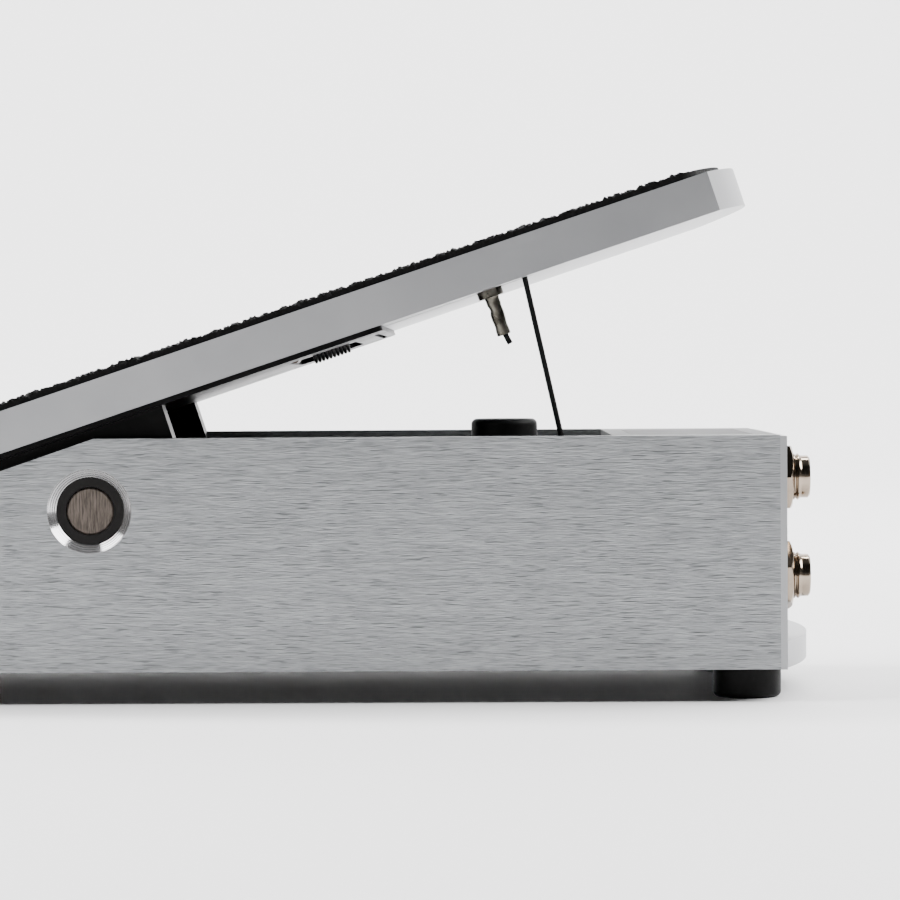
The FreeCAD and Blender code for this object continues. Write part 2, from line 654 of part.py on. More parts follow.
def jacks():
    """Two phone jacks, one above the other: body inside, threaded sleeve, washer and nut outside."""
    for name, level in JACK_LEVELS.items():
        body = new_body(f"{name}_jack_body")
        back = f"({TOE} - jack_long)"
        near, far = "0 - jack_wide / 2", "jack_wide / 2"
        block = rectangle(sketch_on(body, "YZ_Plane"), near, far, "0 - jack_tall / 2", "jack_tall / 2")
        pad(body, block, "jack_long")
        face = sketch_on(body, "YZ_Plane", "jack_long")
        pocket(body, circle(face, "0", "0", "sleeve_radius"), "sleeve_inside")
        face = sketch_on(body, "YZ_Plane", "jack_long")
        pocket(body, circle(face, "0", "0", "plug_bore"), "jack_long - 2")
        node(place(body, back, "jack_y", level))
        nose = "(sleeve_inside + toe_plate_thick + sleeve_reach)"
        sleeve = turned(f"{name}_jack_sleeve", [
            ("plug_bore", "0"), ("sleeve_radius", "0"), ("sleeve_radius", f"{nose} - nose_length"),
            ("nose_radius", f"{nose} - nose_length"), ("nose_radius", nose), ("plug_bore", nose)])
        node(place(sleeve, f"{TOE} - sleeve_inside", "jack_y", level, "toe"))
        washer = tube(f"{name}_jack_washer", "sleeve_radius + hole_gap", "washer_radius", "washer_thick")
        node(place(washer, "pivot_to_toe", "jack_y", level, "toe"))
        nut = nut_body(f"{name}_jack_nut", "nut_flats", "sleeve_radius", "nut_thick", f"{name}_nut_turn")
        node(place(nut, "pivot_to_toe + washer_thick", "jack_y", level, "toe"))


def nut_body(label, flats, bore, thick, turn="0"):
    body = new_body(label)
    sketch = hexagon(sketch_on(body, "XY_Plane"), flats, turn)
    circle(sketch, "0", "0", bore)
    pad(body, sketch, thick)
    return body


def power_socket():
    """The power socket on the far side of the toe plate, with its centre pin."""
    body = new_body("power_jack")
    half = "power_radius"
    pad(body, rectangle(sketch_on(body, "YZ_Plane"), f"0 - {half}", half, f"0 - {half}", half), "14")
    pad(body, circle(sketch_on(body, "YZ_Plane"), "0", "0", half), "14 + toe_plate_thick + power_reach")
    ring = circle(sketch_on(body, "YZ_Plane", "14 + toe_plate_thick + power_reach"), "0", "0", "power_bore")
    circle(ring, "0", "0", "1")
    pocket(body, ring, "11")
    node(place(body, f"{TOE} - 14", "power_y", POWER_LEVEL))
    nut = nut_body("power_jack_nut", "power_radius * 2 + 3", "power_radius", "2")
    node(place(nut, "pivot_to_toe", "power_y", POWER_LEVEL, "toe"))


def potentiometer():
    """The fixed half of the potentiometer, on a bracket screwed to the floor."""
    bracket = new_body("pot_bracket")
    far = "(bracket_y + bracket_thick)"
    upright_plate = sketch_on(bracket, "XZ_Plane", f"0 - {far}")
    sides = ("pulley_x - 14", "pulley_x + 14")
    rectangle(upright_plate, sides[0], sides[1], FLOOR, "pulley_level + 12")
    pad(bracket, upright_plate, "bracket_thick")
    foot = sketch_on(bracket, "XY_Plane", FLOOR)
    rectangle(foot, sides[0], sides[1], "bracket_y", f"{far} + 14")
    pad(bracket, foot, "bracket_thick")
    bore = sketch_on(bracket, "XZ_Plane", f"0 - ({far} + 20)")
    circle(bore, "pulley_x", "pulley_level", "pot_bushing_radius + hole_gap")
    pocket(bracket, bore, both_ways=True)
    holes = sketch_on(bracket, "XY_Plane", f"{FLOOR} + bracket_thick")
    for x in POT_SCREW_XS:
        circle(holes, x, POT_SCREW_Y, "small_screw_radius")
    sunk_screw_holes(bracket, holes, "bracket_thick", f"{FLOOR} + bracket_thick")
    node(place(bracket))
    small_screws("pot_bracket_screws", [(x, POT_SCREW_Y, f"{FLOOR} + bracket_thick") for x in POT_SCREW_XS])
    hub = "(spindle_radius + running_gap)"
    case = turned("pot_case", [("0", "3"), (hub, "3"), (hub, "0"), ("pot_radius", "0"),
                               ("pot_radius", "pot_thick"), ("0", "pot_thick")])
    node(place(case, "pulley_x", far, "pulley_level", "far"))
    reach = "(bracket_thick + pot_bushing_length)"
    sleeve = tube("pot_bushing", hub, "pot_bushing_radius", reach)
    node(place(sleeve, "pulley_x", far, "pulley_level", "near"))
    washer = tube("pot_washer", "pot_bushing_radius + hole_gap", "washer_radius", "washer_thick")
    node(place(washer, "pulley_x", "bracket_y", "pulley_level", "near"))
    nut = nut_body("pot_nut", "nut_flats", "pot_bushing_radius", "nut_thick")
    node(place(nut, "pulley_x", "bracket_y - washer_thick", "pulley_level", "near"))


def heel_guide():
    """A smooth post that turns the string upwards at the heel, on an angle screwed to the floor."""
    body = new_body("guide_bracket")
    face = GUIDE_FACE
    plate = sketch_on(body, "XZ_Plane", f"0 - ({face} + 2)")
    rectangle(plate, f"{GUIDE_X} - 4", f"{GUIDE_X} + 4", FLOOR, f"{GUIDE_Z} + 4")
    pad(body, plate, "2")
    foot = sketch_on(body, "XY_Plane", FLOOR)
    rectangle(foot, f"{GUIDE_X} - 4", f"{GUIDE_X} + 4", face, f"{GUIDE_SCREW_Y} + 4")
    pad(body, foot, "2")
    hole = circle(sketch_on(body, "XY_Plane", f"{FLOOR} + 2"), GUIDE_X, GUIDE_SCREW_Y, "small_screw_radius")
    sunk_screw_holes(body, hole, "2", f"{FLOOR} + 2")
    node(place(body))
    small_screws("guide_screw", [(GUIDE_X, GUIDE_SCREW_Y, f"{FLOOR} + 2")])
    post = turned("string_guide", [("0", "0"), ("guide_radius + 1", "0"), ("guide_radius + 1", "0.8"),
                                   ("guide_radius", "0.8"), ("guide_radius", "4.8"),
                                   ("guide_radius + 1", "4.8"), ("guide_radius + 1", "5.6"), ("0", "5.6")])
    node(place(post, GUIDE_X, face, GUIDE_Z, "near"))


def heel_bumper():
    """The rubber stop that the treadle's heel rests on."""
    edge = "(heel_bumper_x - heel_bumper_radius)"
    above = f"(({WEB_UNDER} / cos(rest_tilt) + {edge} * tan(rest_tilt)) - stop_gap - {FLOOR})"
    stop = turned("heel_bumper", [("0", "0"), ("heel_bumper_radius", "0"), ("heel_bumper_radius", above),
                                  ("0", above)])
    soften(stop, above, "heel_bumper_radius", "0.8")
    node(place(stop, "heel_bumper_x", "0", FLOOR))


# The treadle.

BRACKET_SCREW_XS = ("0 - 60", "12")


def footplate():
    """A thick plate with a curved toe; its underside has the spring's pocket and the string's groove."""
    body = new_body("footplate")
    half, heel = "(case_width / 2)", "(0 - footplate_heel)"
    cut, inner = f"({half} - corner_cut)", f"({heel} + corner_cut)"
    plan = [("footplate_toe", half), (inner, half), (heel, cut), (heel, f"0 - {cut}"),
            (inner, f"0 - {half}"), ("footplate_toe", f"0 - {half}")]
    pad(body, outline(sketch_on(body, "XY_Plane", "footplate_level"), plan), "footplate_thick")
    toe = sketch_on(body, "XY_Plane", "footplate_level")
    pad(body, bow(toe, "footplate_toe", half, "toe_bow"), "footplate_thick")
    under = sketch_on(body, "XY_Plane", "footplate_level")
    deep = "(spring_radius + 1.4)"
    rectangle(under, "window_start - 2", "window_end + 3", f"spring_y - {deep}", f"spring_y + {deep}")
    pocket(body, under, "spring_pocket", upwards=True)
    groove = sketch_on(body, "XY_Plane", "footplate_level")
    wide = "groove_half_width"
    outline(groove, [("window_end", f"spring_y - {wide}"), ("string_exit", f"string_y - {wide}"),
                     ("string_exit", f"string_y + {wide}"), ("window_end", f"spring_y + {wide}")])
    pocket(body, groove, "groove_depth", upwards=True)
    eyelet = sketch_on(body, "XY_Plane", "footplate_level")
    pocket(body, circle(eyelet, "string_exit", "string_y", "1.7"), "groove_depth", upwards=True)
    anchor = sketch_on(body, "XY_Plane", "footplate_level")
    pocket(body, circle(anchor, "anchor_x", "anchor_y", "1.25"), "5", upwards=True)
    holes = sketch_on(body, "XY_Plane", PLATE_TOP)
    spots = [(x, f"{sign}{CHEEK_MIDDLE}", PLATE_TOP) for x in BRACKET_SCREW_XS for sign in SIDES]
    for x, y, _ in spots:
        circle(holes, x, y, "bracket_screw_radius")
    head, shank = "bracket_head_radius", "bracket_screw_radius"
    sunk_screw_holes(body, holes, "footplate_thick", PLATE_TOP, head, shank)
    node(place(body, on_treadle=True))
    screws = []
    for i, (x, y, z) in enumerate(spots, start=1):
        length = "(footplate_thick + bracket_screw_depth)"
        screw = flat_screw(f"bracket_screws_{i}", head, shank, length)
        screws.append(place(screw, x, y, z, on_treadle=True))
    node(group("bracket_screws", screws))


def grip_pad():
    body = new_body("grip_pad")
    side = "(case_width / 2 - pad_margin)"
    heel, toe = "0 - (footplate_heel - pad_margin)", "(footplate_toe - pad_toe_margin)"
    pad(body, rectangle(sketch_on(body, "XY_Plane", PLATE_TOP), heel, toe, f"0 - {side}", side), "pad_thick")
    pad(body, bow(sketch_on(body, "XY_Plane", PLATE_TOP), toe, side, "toe_bow"), "pad_thick")
    round_corners(body, "corner_cut - 1")
    node(place(body, on_treadle=True))


def treadle_bracket():
    """A black plate under the footplate, with a cheek at each side that is fixed to the shaft."""
    body = new_body("treadle_bracket")
    half = "(case_width / 2 - web_inset)"
    plan = rectangle(sketch_on(body, "XY_Plane", WEB_UNDER), "0 - web_heel", "web_toe", f"0 - {half}", half)
    pad(body, plan, "web_thick")
    window = sketch_on(body, "XY_Plane", "footplate_level")
    rectangle(window, "window_start", "window_end", "0 - window_half_width", "window_half_width")
    pocket(body, window, "web_thick")
    round_corners(body, "3")
    slit = sketch_on(body, "XY_Plane", "footplate_level")
    pocket(body, rectangle(slit, "web_toe - 2.6", "web_toe - 1.6", "0 - 22", "34"), "web_thick")
    cheek = [("0 - cheek_heel", "footplate_level"), ("0 - cheek_heel", "6"), ("0 - 10", "0 - cheek_below"),
             ("cheek_front", "0 - cheek_below"), ("cheek_front", "footplate_level")]
    for offset in (CHEEK_INNER, f"0 - {CHEEK_OUTER}"):
        pad(body, outline(sketch_on(body, "XZ_Plane", offset), cheek), "cheek_thick")
    pocket(body, circle(sketch_on(body, "XZ_Plane"), "0", "0", "shaft_radius"), both_ways=True)
    holes = sketch_on(body, "XY_Plane", "footplate_level")
    for x in BRACKET_SCREW_XS:
        for sign in SIDES:
            circle(holes, x, f"{sign}{CHEEK_MIDDLE}", "bracket_screw_radius")
    pocket(body, holes, "bracket_screw_depth")
    grub = sketch_on(body, "XY_Plane", "0 - cheek_below")
    for sign in SIDES:
        circle(grub, "0", f"{sign}{CHEEK_MIDDLE}", "2")
    pocket(body, grub, "cheek_below - 2", upwards=True)
    node(place(body, on_treadle=True))
    screws = []
    for i, sign in enumerate(SIDES, start=1):
        length = "(cheek_below - shaft_radius - 0.5)"
        screw = turned(f"shaft_set_screws_{i}", [("0", "0"), ("2", "0"), ("2", length), ("0", length)])
        pocket(screw, hexagon(sketch_on(screw, "XY_Plane"), "2"), "1.5", upwards=True)
        top = "0 - shaft_radius - " + length
        screws.append(place(screw, "0", f"{sign}{CHEEK_MIDDLE}", top, on_treadle=True))
    node(group("shaft_set_screws", screws))


def pivot_shaft():
    length = "(case_width - 2 * shaft_inset)"
    body = turned("pivot_shaft", [("0", "0"), ("shaft_radius - 0.4", "0"), ("shaft_radius", "0.4"),
                                  ("shaft_radius", f"{length} - 0.4"), ("shaft_radius - 0.4", length),
                                  ("0", length)])
    node(place(body, "0", f"0 - {length} / 2", "0", "far", on_treadle=True))


def string_fittings():
    """What holds the string in the treadle: spring and pin, eyelet, ferrule and heel anchor."""
    reach = "(window_end - window_start - 3.5)"
    wire = "0.4"
    spring = turned("string_spring", [("0", "0"), (wire, "0"), (wire, "2.5"), ("spring_radius", "2.5"),
                                      ("spring_radius", f"{reach} - 0.5"), (wire, f"{reach} - 0.5"),
                                      (wire, f"{reach} + 0.9"), ("0", f"{reach} + 0.9")])
    node(place(spring, "window_start + 2.5", "spring_y", "spring_level", "toe", on_treadle=True))
    width = "(2 * (spring_radius + 1.4))"
    pin = turned("spring_pin", [("0", "0"), ("1", "0"), ("1", width), ("0", width)])
    node(place(pin, "window_start + 1.5", f"spring_y - {width} / 2", "spring_level", "far", on_treadle=True))
    eyelet = tube("string_eyelet", "string_radius + 0.15", "1.7", "groove_depth - 1.4")
    node(place(eyelet, "string_exit", "string_y", "footplate_level", on_treadle=True))
    ferrule = new_body("string_ferrule")
    collar = circle(sketch_on(ferrule, "XY_Plane", "0 - collar_thick"), "0", "0", "collar_radius")
    pad(ferrule, collar, "collar_thick")
    tube_end = "(0 - collar_thick - ferrule_length)"
    end = sketch_on(ferrule, "XY_Plane", tube_end)
    pad(ferrule, circle(end, "0", "0", "ferrule_radius"), "ferrule_length")
    bore = circle(sketch_on(ferrule, "XY_Plane"), "0", "0", "string_radius + hole_gap")
    pocket(ferrule, bore, "collar_thick + ferrule_length")
    node(place(ferrule, "ferrule_x", "ferrule_y", "footplate_level", on_treadle=True))
    anchor = turned("heel_anchor", [("0", "0"), ("anchor_radius", "0"), ("anchor_radius", "anchor_drop"),
                                    ("1.25", "anchor_drop"), ("1.25", "anchor_drop + 5"),
                                    ("0", "anchor_drop + 5")])
    node(place(anchor, "anchor_x", "anchor_y", "footplate_level - anchor_drop", on_treadle=True))


# The pulley.


def pulley():
    """A flanged pulley on the potentiometer's spindle, with its set screw."""
    near = PULLEY_NEAR
    width = f"({PULLEY_FAR} - {near})"
    rim, root = "pulley_rim", "pulley_radius"
    wheel = turned("string_pulley", [
        ("spindle_radius", "0"), (rim, "0"), (rim, "rim_thick"), (root, "rim_thick"),
        (root, "rim_thick + 4.4"), (rim, "rim_thick + 4.4"), (rim, "2 * rim_thick + 4.4"),
        ("pulley_hub", "2 * rim_thick + 4.4"),
        ("pulley_hub", f"{width} - 0.1"), ("spindle_radius", f"{width} - 0.1")])
    middle = f"(rim_thick + 2.2 + ({width} - 0.1) / 2)"
    pocket(wheel, circle(sketch_on(wheel, "YZ_Plane"), "0", middle, "0.8"), "pulley_hub + 1", upwards=True)
    node(place(wheel, "pulley_x", near, "pulley_level", "far"))
    reach = "(pulley_hub - spindle_radius)"
    screw = turned("pulley_set_screw", [("0", "0"), ("0.8", "0"), ("0.8", reach), ("0", reach)])
    node(place(screw, "pulley_x + spindle_radius", f"{near} + {middle}", "pulley_level", "toe"))
    length = f"(bracket_y + bracket_thick + 2.8 - ({near}))"
    outer = "spindle_radius"
    spindle = turned("pot_spindle", [("0", "0"), (outer, "0"), (outer, length), ("0", length)])
    node(place(spindle, "pulley_x", near, "pulley_level", "far"))


# The string.


def corner_arc(before, corner, after, radius):
    """The arc that rounds a corner, as its two ends and its middle."""
    to_before, to_after = (before - corner), (after - corner)
    half = to_before.getAngle(to_after) / 2
    back = min(radius / math.tan(half), 0.49 * to_before.Length, 0.49 * to_after.Length)
    to_before.normalize()
    to_after.normalize()
    inward = to_before + to_after
    inward.normalize()
    size = back * math.tan(half)
    middle = corner + inward * (size / math.sin(half) - size)
    return corner + to_before * back, middle, corner + to_after * back


def cord(points, bends, radius):
    """A round cord along straight runs, each corner rounded by its own bend."""
    edges, at = [], points[0]
    for i in range(1, len(points) - 1):
        start, middle, end = corner_arc(points[i - 1], points[i], points[i + 1], bends[i])
        if (start - at).Length > 1e-4:
            edges.append(Part.LineSegment(at, start).toShape())
        edges.append(Part.Arc(start, middle, end).toShape())
        at = end
    edges.append(Part.LineSegment(at, points[-1]).toShape())
    path = Part.Wire(edges)
    ring = Part.Wire([Part.Circle(points[0], points[1] - points[0], radius).toShape()])
    sweep = Part.BRepOffsetAPI.MakePipeShell(path)
    sweep.setFrenetMode(True)
    sweep.add(ring)
    sweep.build()
    sweep.makeSolid()
    solid = sweep.shape()
    print(f"string: {path.Length:.1f} long, volume over section times length "
          f"{solid.Volume / (math.pi * radius ** 2 * path.Length):.4f}")
    return solid


def string():
    """The string as it lies at rest, from its tail in the ferrule to the heel anchor."""
    tilt = math.radians(number("rest_tilt"))

    def on_treadle(x, y, z):
        return Vector(x * math.cos(tilt) - z * math.sin(tilt), y, x * math.sin(tilt) + z * math.cos(tilt))

    level, radius = number("footplate_level"), number("string_radius")
    low = level + radius + number("hole_gap")
    high = level + number("groove_depth") - radius - number("hole_gap")
    tube_low = level - number("collar_thick + ferrule_length")
    ferrule_x, ferrule_y, across = number("ferrule_x"), number("ferrule_y"), number("string_y")
    hook_x, hook_y = number("window_end") + radius, number("spring_y")
    tight = 1.2 * radius
    points = [on_treadle(ferrule_x + 0.4, ferrule_y, tube_low - 2.2),
              on_treadle(ferrule_x, ferrule_y, tube_low),
              on_treadle(ferrule_x, ferrule_y, low), on_treadle(hook_x, hook_y, low),
              on_treadle(hook_x, hook_y, high), on_treadle(number("string_exit"), across, high)]
    bends = [tight] * len(points)
    centre = Vector(number("pulley_x"), 0, number("pulley_level"))
    reach = number("pulley_radius + string_radius + hole_gap")
    gap = points[-1] - Vector(centre.x, across, centre.z)
    leave = math.atan2(gap.z, gap.x) - math.acos(reach / math.hypot(gap.x, gap.z))
    guide = Vector(number(GUIDE_X), 0, number(GUIDE_Z))
    guide_reach = number("guide_radius + string_radius + hole_gap")
    between = math.hypot(centre.x - guide.x, centre.z - guide.z)
    slope = math.atan2(centre.z - guide.z, centre.x - guide.x) - math.asin((reach - guide_reach) / between)
    total = leave + math.pi / 2 - slope + 4 * math.pi
    steps = 28
    step = total / steps
    rise = number("wrap_pitch") * step / (2 * math.pi)
    for i in range(steps):
        angle = leave - (i + 0.5) * step
        wide = reach / math.cos(step / 2)
        points.append(Vector(centre.x + wide * math.cos(angle), across + rise * (i + 0.5),
                             centre.z + wide * math.sin(angle)))
        bends.append(reach)
    heel_leg, heel_y = number(HEEL_LEG_X), number("anchor_y")
    under = guide.z - guide_reach / math.cos(slope) - (guide.x - heel_leg) * math.tan(slope)
    points.append(Vector(heel_leg, heel_y, under))
    points.append(Vector(heel_leg, heel_y, number(HEEL_LEG_TOP) - radius * math.tan(tilt) - 0.02))
    bends += [guide_reach, 0]
    piece = doc.addObject("Part::Feature", "string")
    piece.Shape = cord(points, bends, radius)
    home = Vector(number("pivot_x"), 0, number("foot_height + wall_height - pivot_below_top"))
    piece.Placement = Placement(home, Rotation())
    return node(piece)


chassis()
toe_plate()
heel_plate()
deck()
display()
bushings()
feet()
jacks()
power_socket()
potentiometer()
heel_guide()
heel_bumper()
footplate()
grip_pad()
treadle_bracket()
pivot_shaft()
string_fittings()
pulley()
string()
doc.recompute()

for thing in doc.Objects:
    if set(thing.State) & {"Invalid", "Error"}:
        raise RuntimeError(f"{thing.Label} did not recompute: {thing.State}")
os.makedirs("parts", exist_ok=True)
labels = [thing.Label for thing in NODES]
if len(set(labels)) != len(labels):
    raise RuntimeError("two pieces share a name")
for thing in NODES:
    shape = thing.Shape
    if shape.isNull() or not shape.isValid() or not shape.Solids:
        raise RuntimeError(f"{thing.Label} is not a valid solid")
    shape.exportStep(f"parts/{thing.Label}.step")
print(f"{len(NODES)} pieces written")
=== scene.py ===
# %% [markdown]
# A rocker volume pedal, heel down. The solids come from the frame, already in place. This file gives each
# one its finish and remakes the small parts whose charm is in their detail: the plated jacks, the coiled
# spring, the braided string with its crimped ferrule and the gritty grip sheet.

# %% Load the frame
import json
import math

import bmesh
import bpy
from mathutils import Matrix, Vector


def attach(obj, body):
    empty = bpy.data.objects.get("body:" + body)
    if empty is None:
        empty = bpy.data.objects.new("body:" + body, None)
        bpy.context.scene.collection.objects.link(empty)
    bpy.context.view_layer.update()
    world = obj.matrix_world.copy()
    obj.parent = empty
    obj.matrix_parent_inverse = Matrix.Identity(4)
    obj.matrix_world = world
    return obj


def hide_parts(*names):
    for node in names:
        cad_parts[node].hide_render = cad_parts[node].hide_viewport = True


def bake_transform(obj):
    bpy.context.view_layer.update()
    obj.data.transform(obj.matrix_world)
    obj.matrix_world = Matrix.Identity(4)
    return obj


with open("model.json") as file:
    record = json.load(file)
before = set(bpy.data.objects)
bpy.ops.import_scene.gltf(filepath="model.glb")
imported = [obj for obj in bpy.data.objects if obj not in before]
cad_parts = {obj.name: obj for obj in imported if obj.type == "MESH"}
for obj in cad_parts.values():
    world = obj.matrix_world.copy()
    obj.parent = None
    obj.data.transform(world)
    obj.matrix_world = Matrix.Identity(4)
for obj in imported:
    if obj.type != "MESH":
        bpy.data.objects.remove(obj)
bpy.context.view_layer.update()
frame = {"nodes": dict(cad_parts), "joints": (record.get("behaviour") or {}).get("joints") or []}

nodes = frame["nodes"]
pivot = Vector(frame["joints"][0]["pos_m"])
print("pieces in the frame:", len(nodes), " pivot at", [round(v, 4) for v in pivot])

# %% [markdown]
# The treadle's parts are easiest to think of level, before the treadle tips up about its pivot. This cell
# turns a level place into its place at rest. All lengths are typed in millimetres and become metres here.
# X runs towards the toe, Y away from us and Z up.

# %% Places on the base and on the tilted treadle
MM = 0.001
REST_TILT = math.radians(18.33)
TILT = Matrix.Translation(pivot) @ Matrix.Rotation(-REST_TILT, 4, "Y")
ALONG, ACROSS, UP = Vector((1, 0, 0)), Vector((0, 1, 0)), Vector((0, 0, 1))


def on_base(x, y, z):
    """A place in metres, from millimetres about the pivot."""
    return pivot + Vector((x, y, z)) * MM


def on_treadle(x, y, z):
    """The same for a piece of the treadle, typed as if it were level."""
    return TILT @ (Vector((x, y, z)) * MM)


def put_in_scene(name, data):
    """An object for a mesh, a curve, a lamp or a camera."""
    thing = bpy.data.objects.new(name, data)
    bpy.context.scene.collection.objects.link(thing)
    return thing


print("string leaves the treadle at", [round(v / MM, 1) for v in on_treadle(97, -35, 16.5)])

# %% [markdown]
# Shader maths reads best as plain sums. The small class below wraps a node socket, so that writing
# `grain * 0.2 + 0.4` adds the Math nodes for us. `Finish` starts a material and has one method for any node.

# %% A socket that can be added and multiplied
class Wire:
    def __init__(self, finish, socket):
        self.finish, self.socket = finish, socket

    def maths(self, how, *others):
        return self.finish.node("ShaderNodeMath", {"operation": how}, dict(enumerate((self, *others))))

    def __add__(self, other): return self.maths("ADD", other)
    def __mul__(self, other): return self.maths("MULTIPLY", other)
    def __sub__(self, other): return self.maths("SUBTRACT", other)
    def __pow__(self, other): return self.maths("POWER", other)
    def __rsub__(self, other):
        return self.finish.node("ShaderNodeMath", {"operation": "SUBTRACT"}, {0: other, 1: self})
    __radd__, __rmul__ = __add__, __mul__

    def above(self, edge): return self.maths("GREATER_THAN", edge)
    def wave(self): return self.maths("SINE")
    def most(self, other): return self.maths("MAXIMUM", other)
    def spread(self, low, high):
        """Stretches the values from low to high over 0 to 1."""
        values = {0: self, 1: low, 2: high, 3: 0.0, 4: 1.0}
        return self.finish.node("ShaderNodeMapRange", {"clamp": True}, values)


class Finish:
    """One material: its nodes, its surface, and one method that adds any node."""

    def __init__(self, name):
        self.material = bpy.data.materials.new(name)
        self.material.use_nodes = True
        self.tree = self.material.node_tree
        self.shader = self.tree.nodes["Principled BSDF"]

    def feed(self, socket, value):
        """Joins a wire to a socket, or sets the socket's number, vector or colour."""
        if isinstance(value, Wire):
            self.tree.links.new(value.socket, socket)
        else:
            socket.default_value = (*value, 1) if socket.type == "RGBA" else value

    def node(self, kind, settings=None, values=None, out=0):
        made = self.tree.nodes.new(kind)
        for key, value in (settings or {}).items():
            setattr(made, key, value)
        for key, value in (values or {}).items():
            self.feed(made.inputs[key], value)
        return Wire(self, made.outputs[out])

    def place(self):
        """Object coordinates, in metres."""
        return self.node("ShaderNodeTexCoord", out=3)

    def along(self, stretch, turn=(0, 0, 0)):
        """Object coordinates, stretched so that a pattern runs long one way."""
        return self.node("ShaderNodeMapping", {}, {"Vector": self.place(), "Scale": stretch, "Rotation": turn})

    def noise(self, where, scale, detail=2.0, rough=0.5):
        values = {"Vector": where, "Scale": scale, "Detail": detail, "Roughness": rough}
        return self.node("ShaderNodeTexNoise", {}, values)

    def mix(self, how_much, low, high):
        """A colour between two, each a tuple or a wire."""
        return self.node("ShaderNodeMix", {"data_type": "RGBA"}, {0: how_much, 6: low, 7: high}, out=2)

    def surface(self, **values):
        for key, value in values.items():
            self.feed(self.shader.inputs[key.replace("_", " ")], value)

    def bumps(self, height, depth, strength):
        """Fine relief; depth is in metres."""
        values = {"Height": height, "Distance": depth, "Strength": strength}
        self.surface(Normal=self.node("ShaderNodeBump", {}, values))


def wear(finish, *pieces):
    """Puts one finish on nodes of the frame or on new pieces."""
    for piece in pieces:
        thing = nodes[piece] if isinstance(piece, str) else piece
        thing.data.materials.clear()
        thing.data.materials.append(finish.material)


print("shader helpers ready")

# %% [markdown]
# The case is brushed aluminium with a clear anodised coat. Brushing could be a picture, but a picture
# repeats and blurs close up, so here it is noise pulled very long in one direction: thousands of hair
# lines along X that only vary across Z. Fine hairs, dark scratches and broad soft streaks are summed.
# Round each bushing the countersink is turned bright after the brushing, so a mask by distance from the
# pivot's axis swaps the brushing for fine turning rings. A second mask, by height, paints the underside
# nearly black, which is painted shade under the case.

# %% Brushed aluminium of the case
COUNTERSINK_RADIUS = 8.41 * MM
PAINTED_SHADE_HEIGHT = 6.45 * MM
RING_RATE = 16000  # radians for each metre out from the axis: a ring every 0.4 mm

brushed = Finish("brushed_panel")
where = brushed.place()
hair = brushed.noise(brushed.along((95, 900, 1150)), 3.0, 2.0, 0.6).spread(0.34, 0.66)
streak = brushed.noise(brushed.along((34, 260, 330)), 3.0, 2.0, 0.5).spread(0.35, 0.65)
scratch = brushed.noise(brushed.along((110, 900, 1300)), 2.0, 1.0, 0.5).spread(0.60, 0.70)
cloud = brushed.noise(where, 9.0, 2.0)
lines = hair * 0.45 + streak * 0.25 + cloud * 0.25 - scratch * 0.5
length = brushed.node("ShaderNodeSeparateXYZ", {}, {"Vector": where})
height = brushed.node("ShaderNodeSeparateXYZ", {}, {"Vector": where}, out=2)
from_axis = ((length - pivot.x) ** 2 + (height - pivot.z) ** 2) ** 0.5
plain = from_axis.above(COUNTERSINK_RADIUS)
rings = (from_axis * RING_RATE).wave() * 0.5 + 0.5
tone = brushed.mix(lines, (0.175, 0.182, 0.188), (0.40, 0.412, 0.42))
# painted shade: below this height the case is nearly black, standing for the shadow under it
tone_over_painted_underside_shade = brushed.mix(height.above(PAINTED_SHADE_HEIGHT), (0.02, 0.02, 0.021), tone)
brushed.surface(Base_Color=brushed.mix(plain, (0.52, 0.52, 0.525), tone_over_painted_underside_shade), Metallic=0.92,
                Roughness=plain * (lines * 0.10 + 0.20) + 0.16)
brushed.bumps(plain * lines + rings * 0.3 * (1 - plain), 0.00009, 0.5)
wear(brushed, "chassis")
print("brushed panel on the chassis, countersinks of radius", COUNTERSINK_RADIUS)

# %% [markdown]
# The footplate and the end plates are the same metal with a much finer satin. It has almost no lines, so no
# direction either: only a soft mottling, a very fine grain and a few small handling marks.

# %% Satin aluminium of the footplate and end plates
satin = Finish("satin_aluminium")
grain = satin.noise(satin.place(), 2600.0, 2.0)
mottle = satin.noise(satin.place(), 28.0, 3.0, 0.6)
scuff = satin.noise(satin.along((40, 300, 260), (0.3, 0.2, 0.5)), 3.0, 4.0, 0.7).spread(0.62, 0.72)
satin.surface(Base_Color=satin.mix(mottle.spread(0.3, 0.7), (0.34, 0.345, 0.355), (0.40, 0.402, 0.41)),
              Metallic=0.9, Roughness=grain * 0.10 + mottle * 0.08 + scuff * 0.08 + 0.28)
satin.bumps(grain, 0.00002, 0.4)
wear(satin, "footplate", "toe_plate", "heel_plate")
print("satin on the footplate")

# %% [markdown]
# Black parts come in four finishes. Three are not metal, and in them a low specular level keeps the black
# deep although the room is pale. The first is a satin powder coat. Powder melts into a faint orange-peel
# skin, which is soft noise in the bump, and dust settles on it in cloudy patches, which are larger noise in
# the colour and the roughness.

# %% Black coat of the bracket and the deck
coat = Finish("black_coat")
peel = coat.noise(coat.place(), 900.0, 2.0)
dust = coat.noise(coat.place(), 60.0, 4.0, 0.7).spread(0.5, 0.8)
coat.surface(Base_Color=coat.mix(dust, (0.002, 0.002, 0.002), (0.006, 0.006, 0.006)),
             Roughness=dust * 0.12 + peel * 0.06 + 0.30, Specular_IOR_Level=0.06)
coat.bumps(peel, 0.00004, 0.3)
wear(coat, "treadle_bracket", "deck_plate", "guide_bracket")
print("powder coat done")

# %% [markdown]
# Moulded rubber copies the tiny pores of its mould and grows a pale bloom with age. The feet and both
# stops share it.

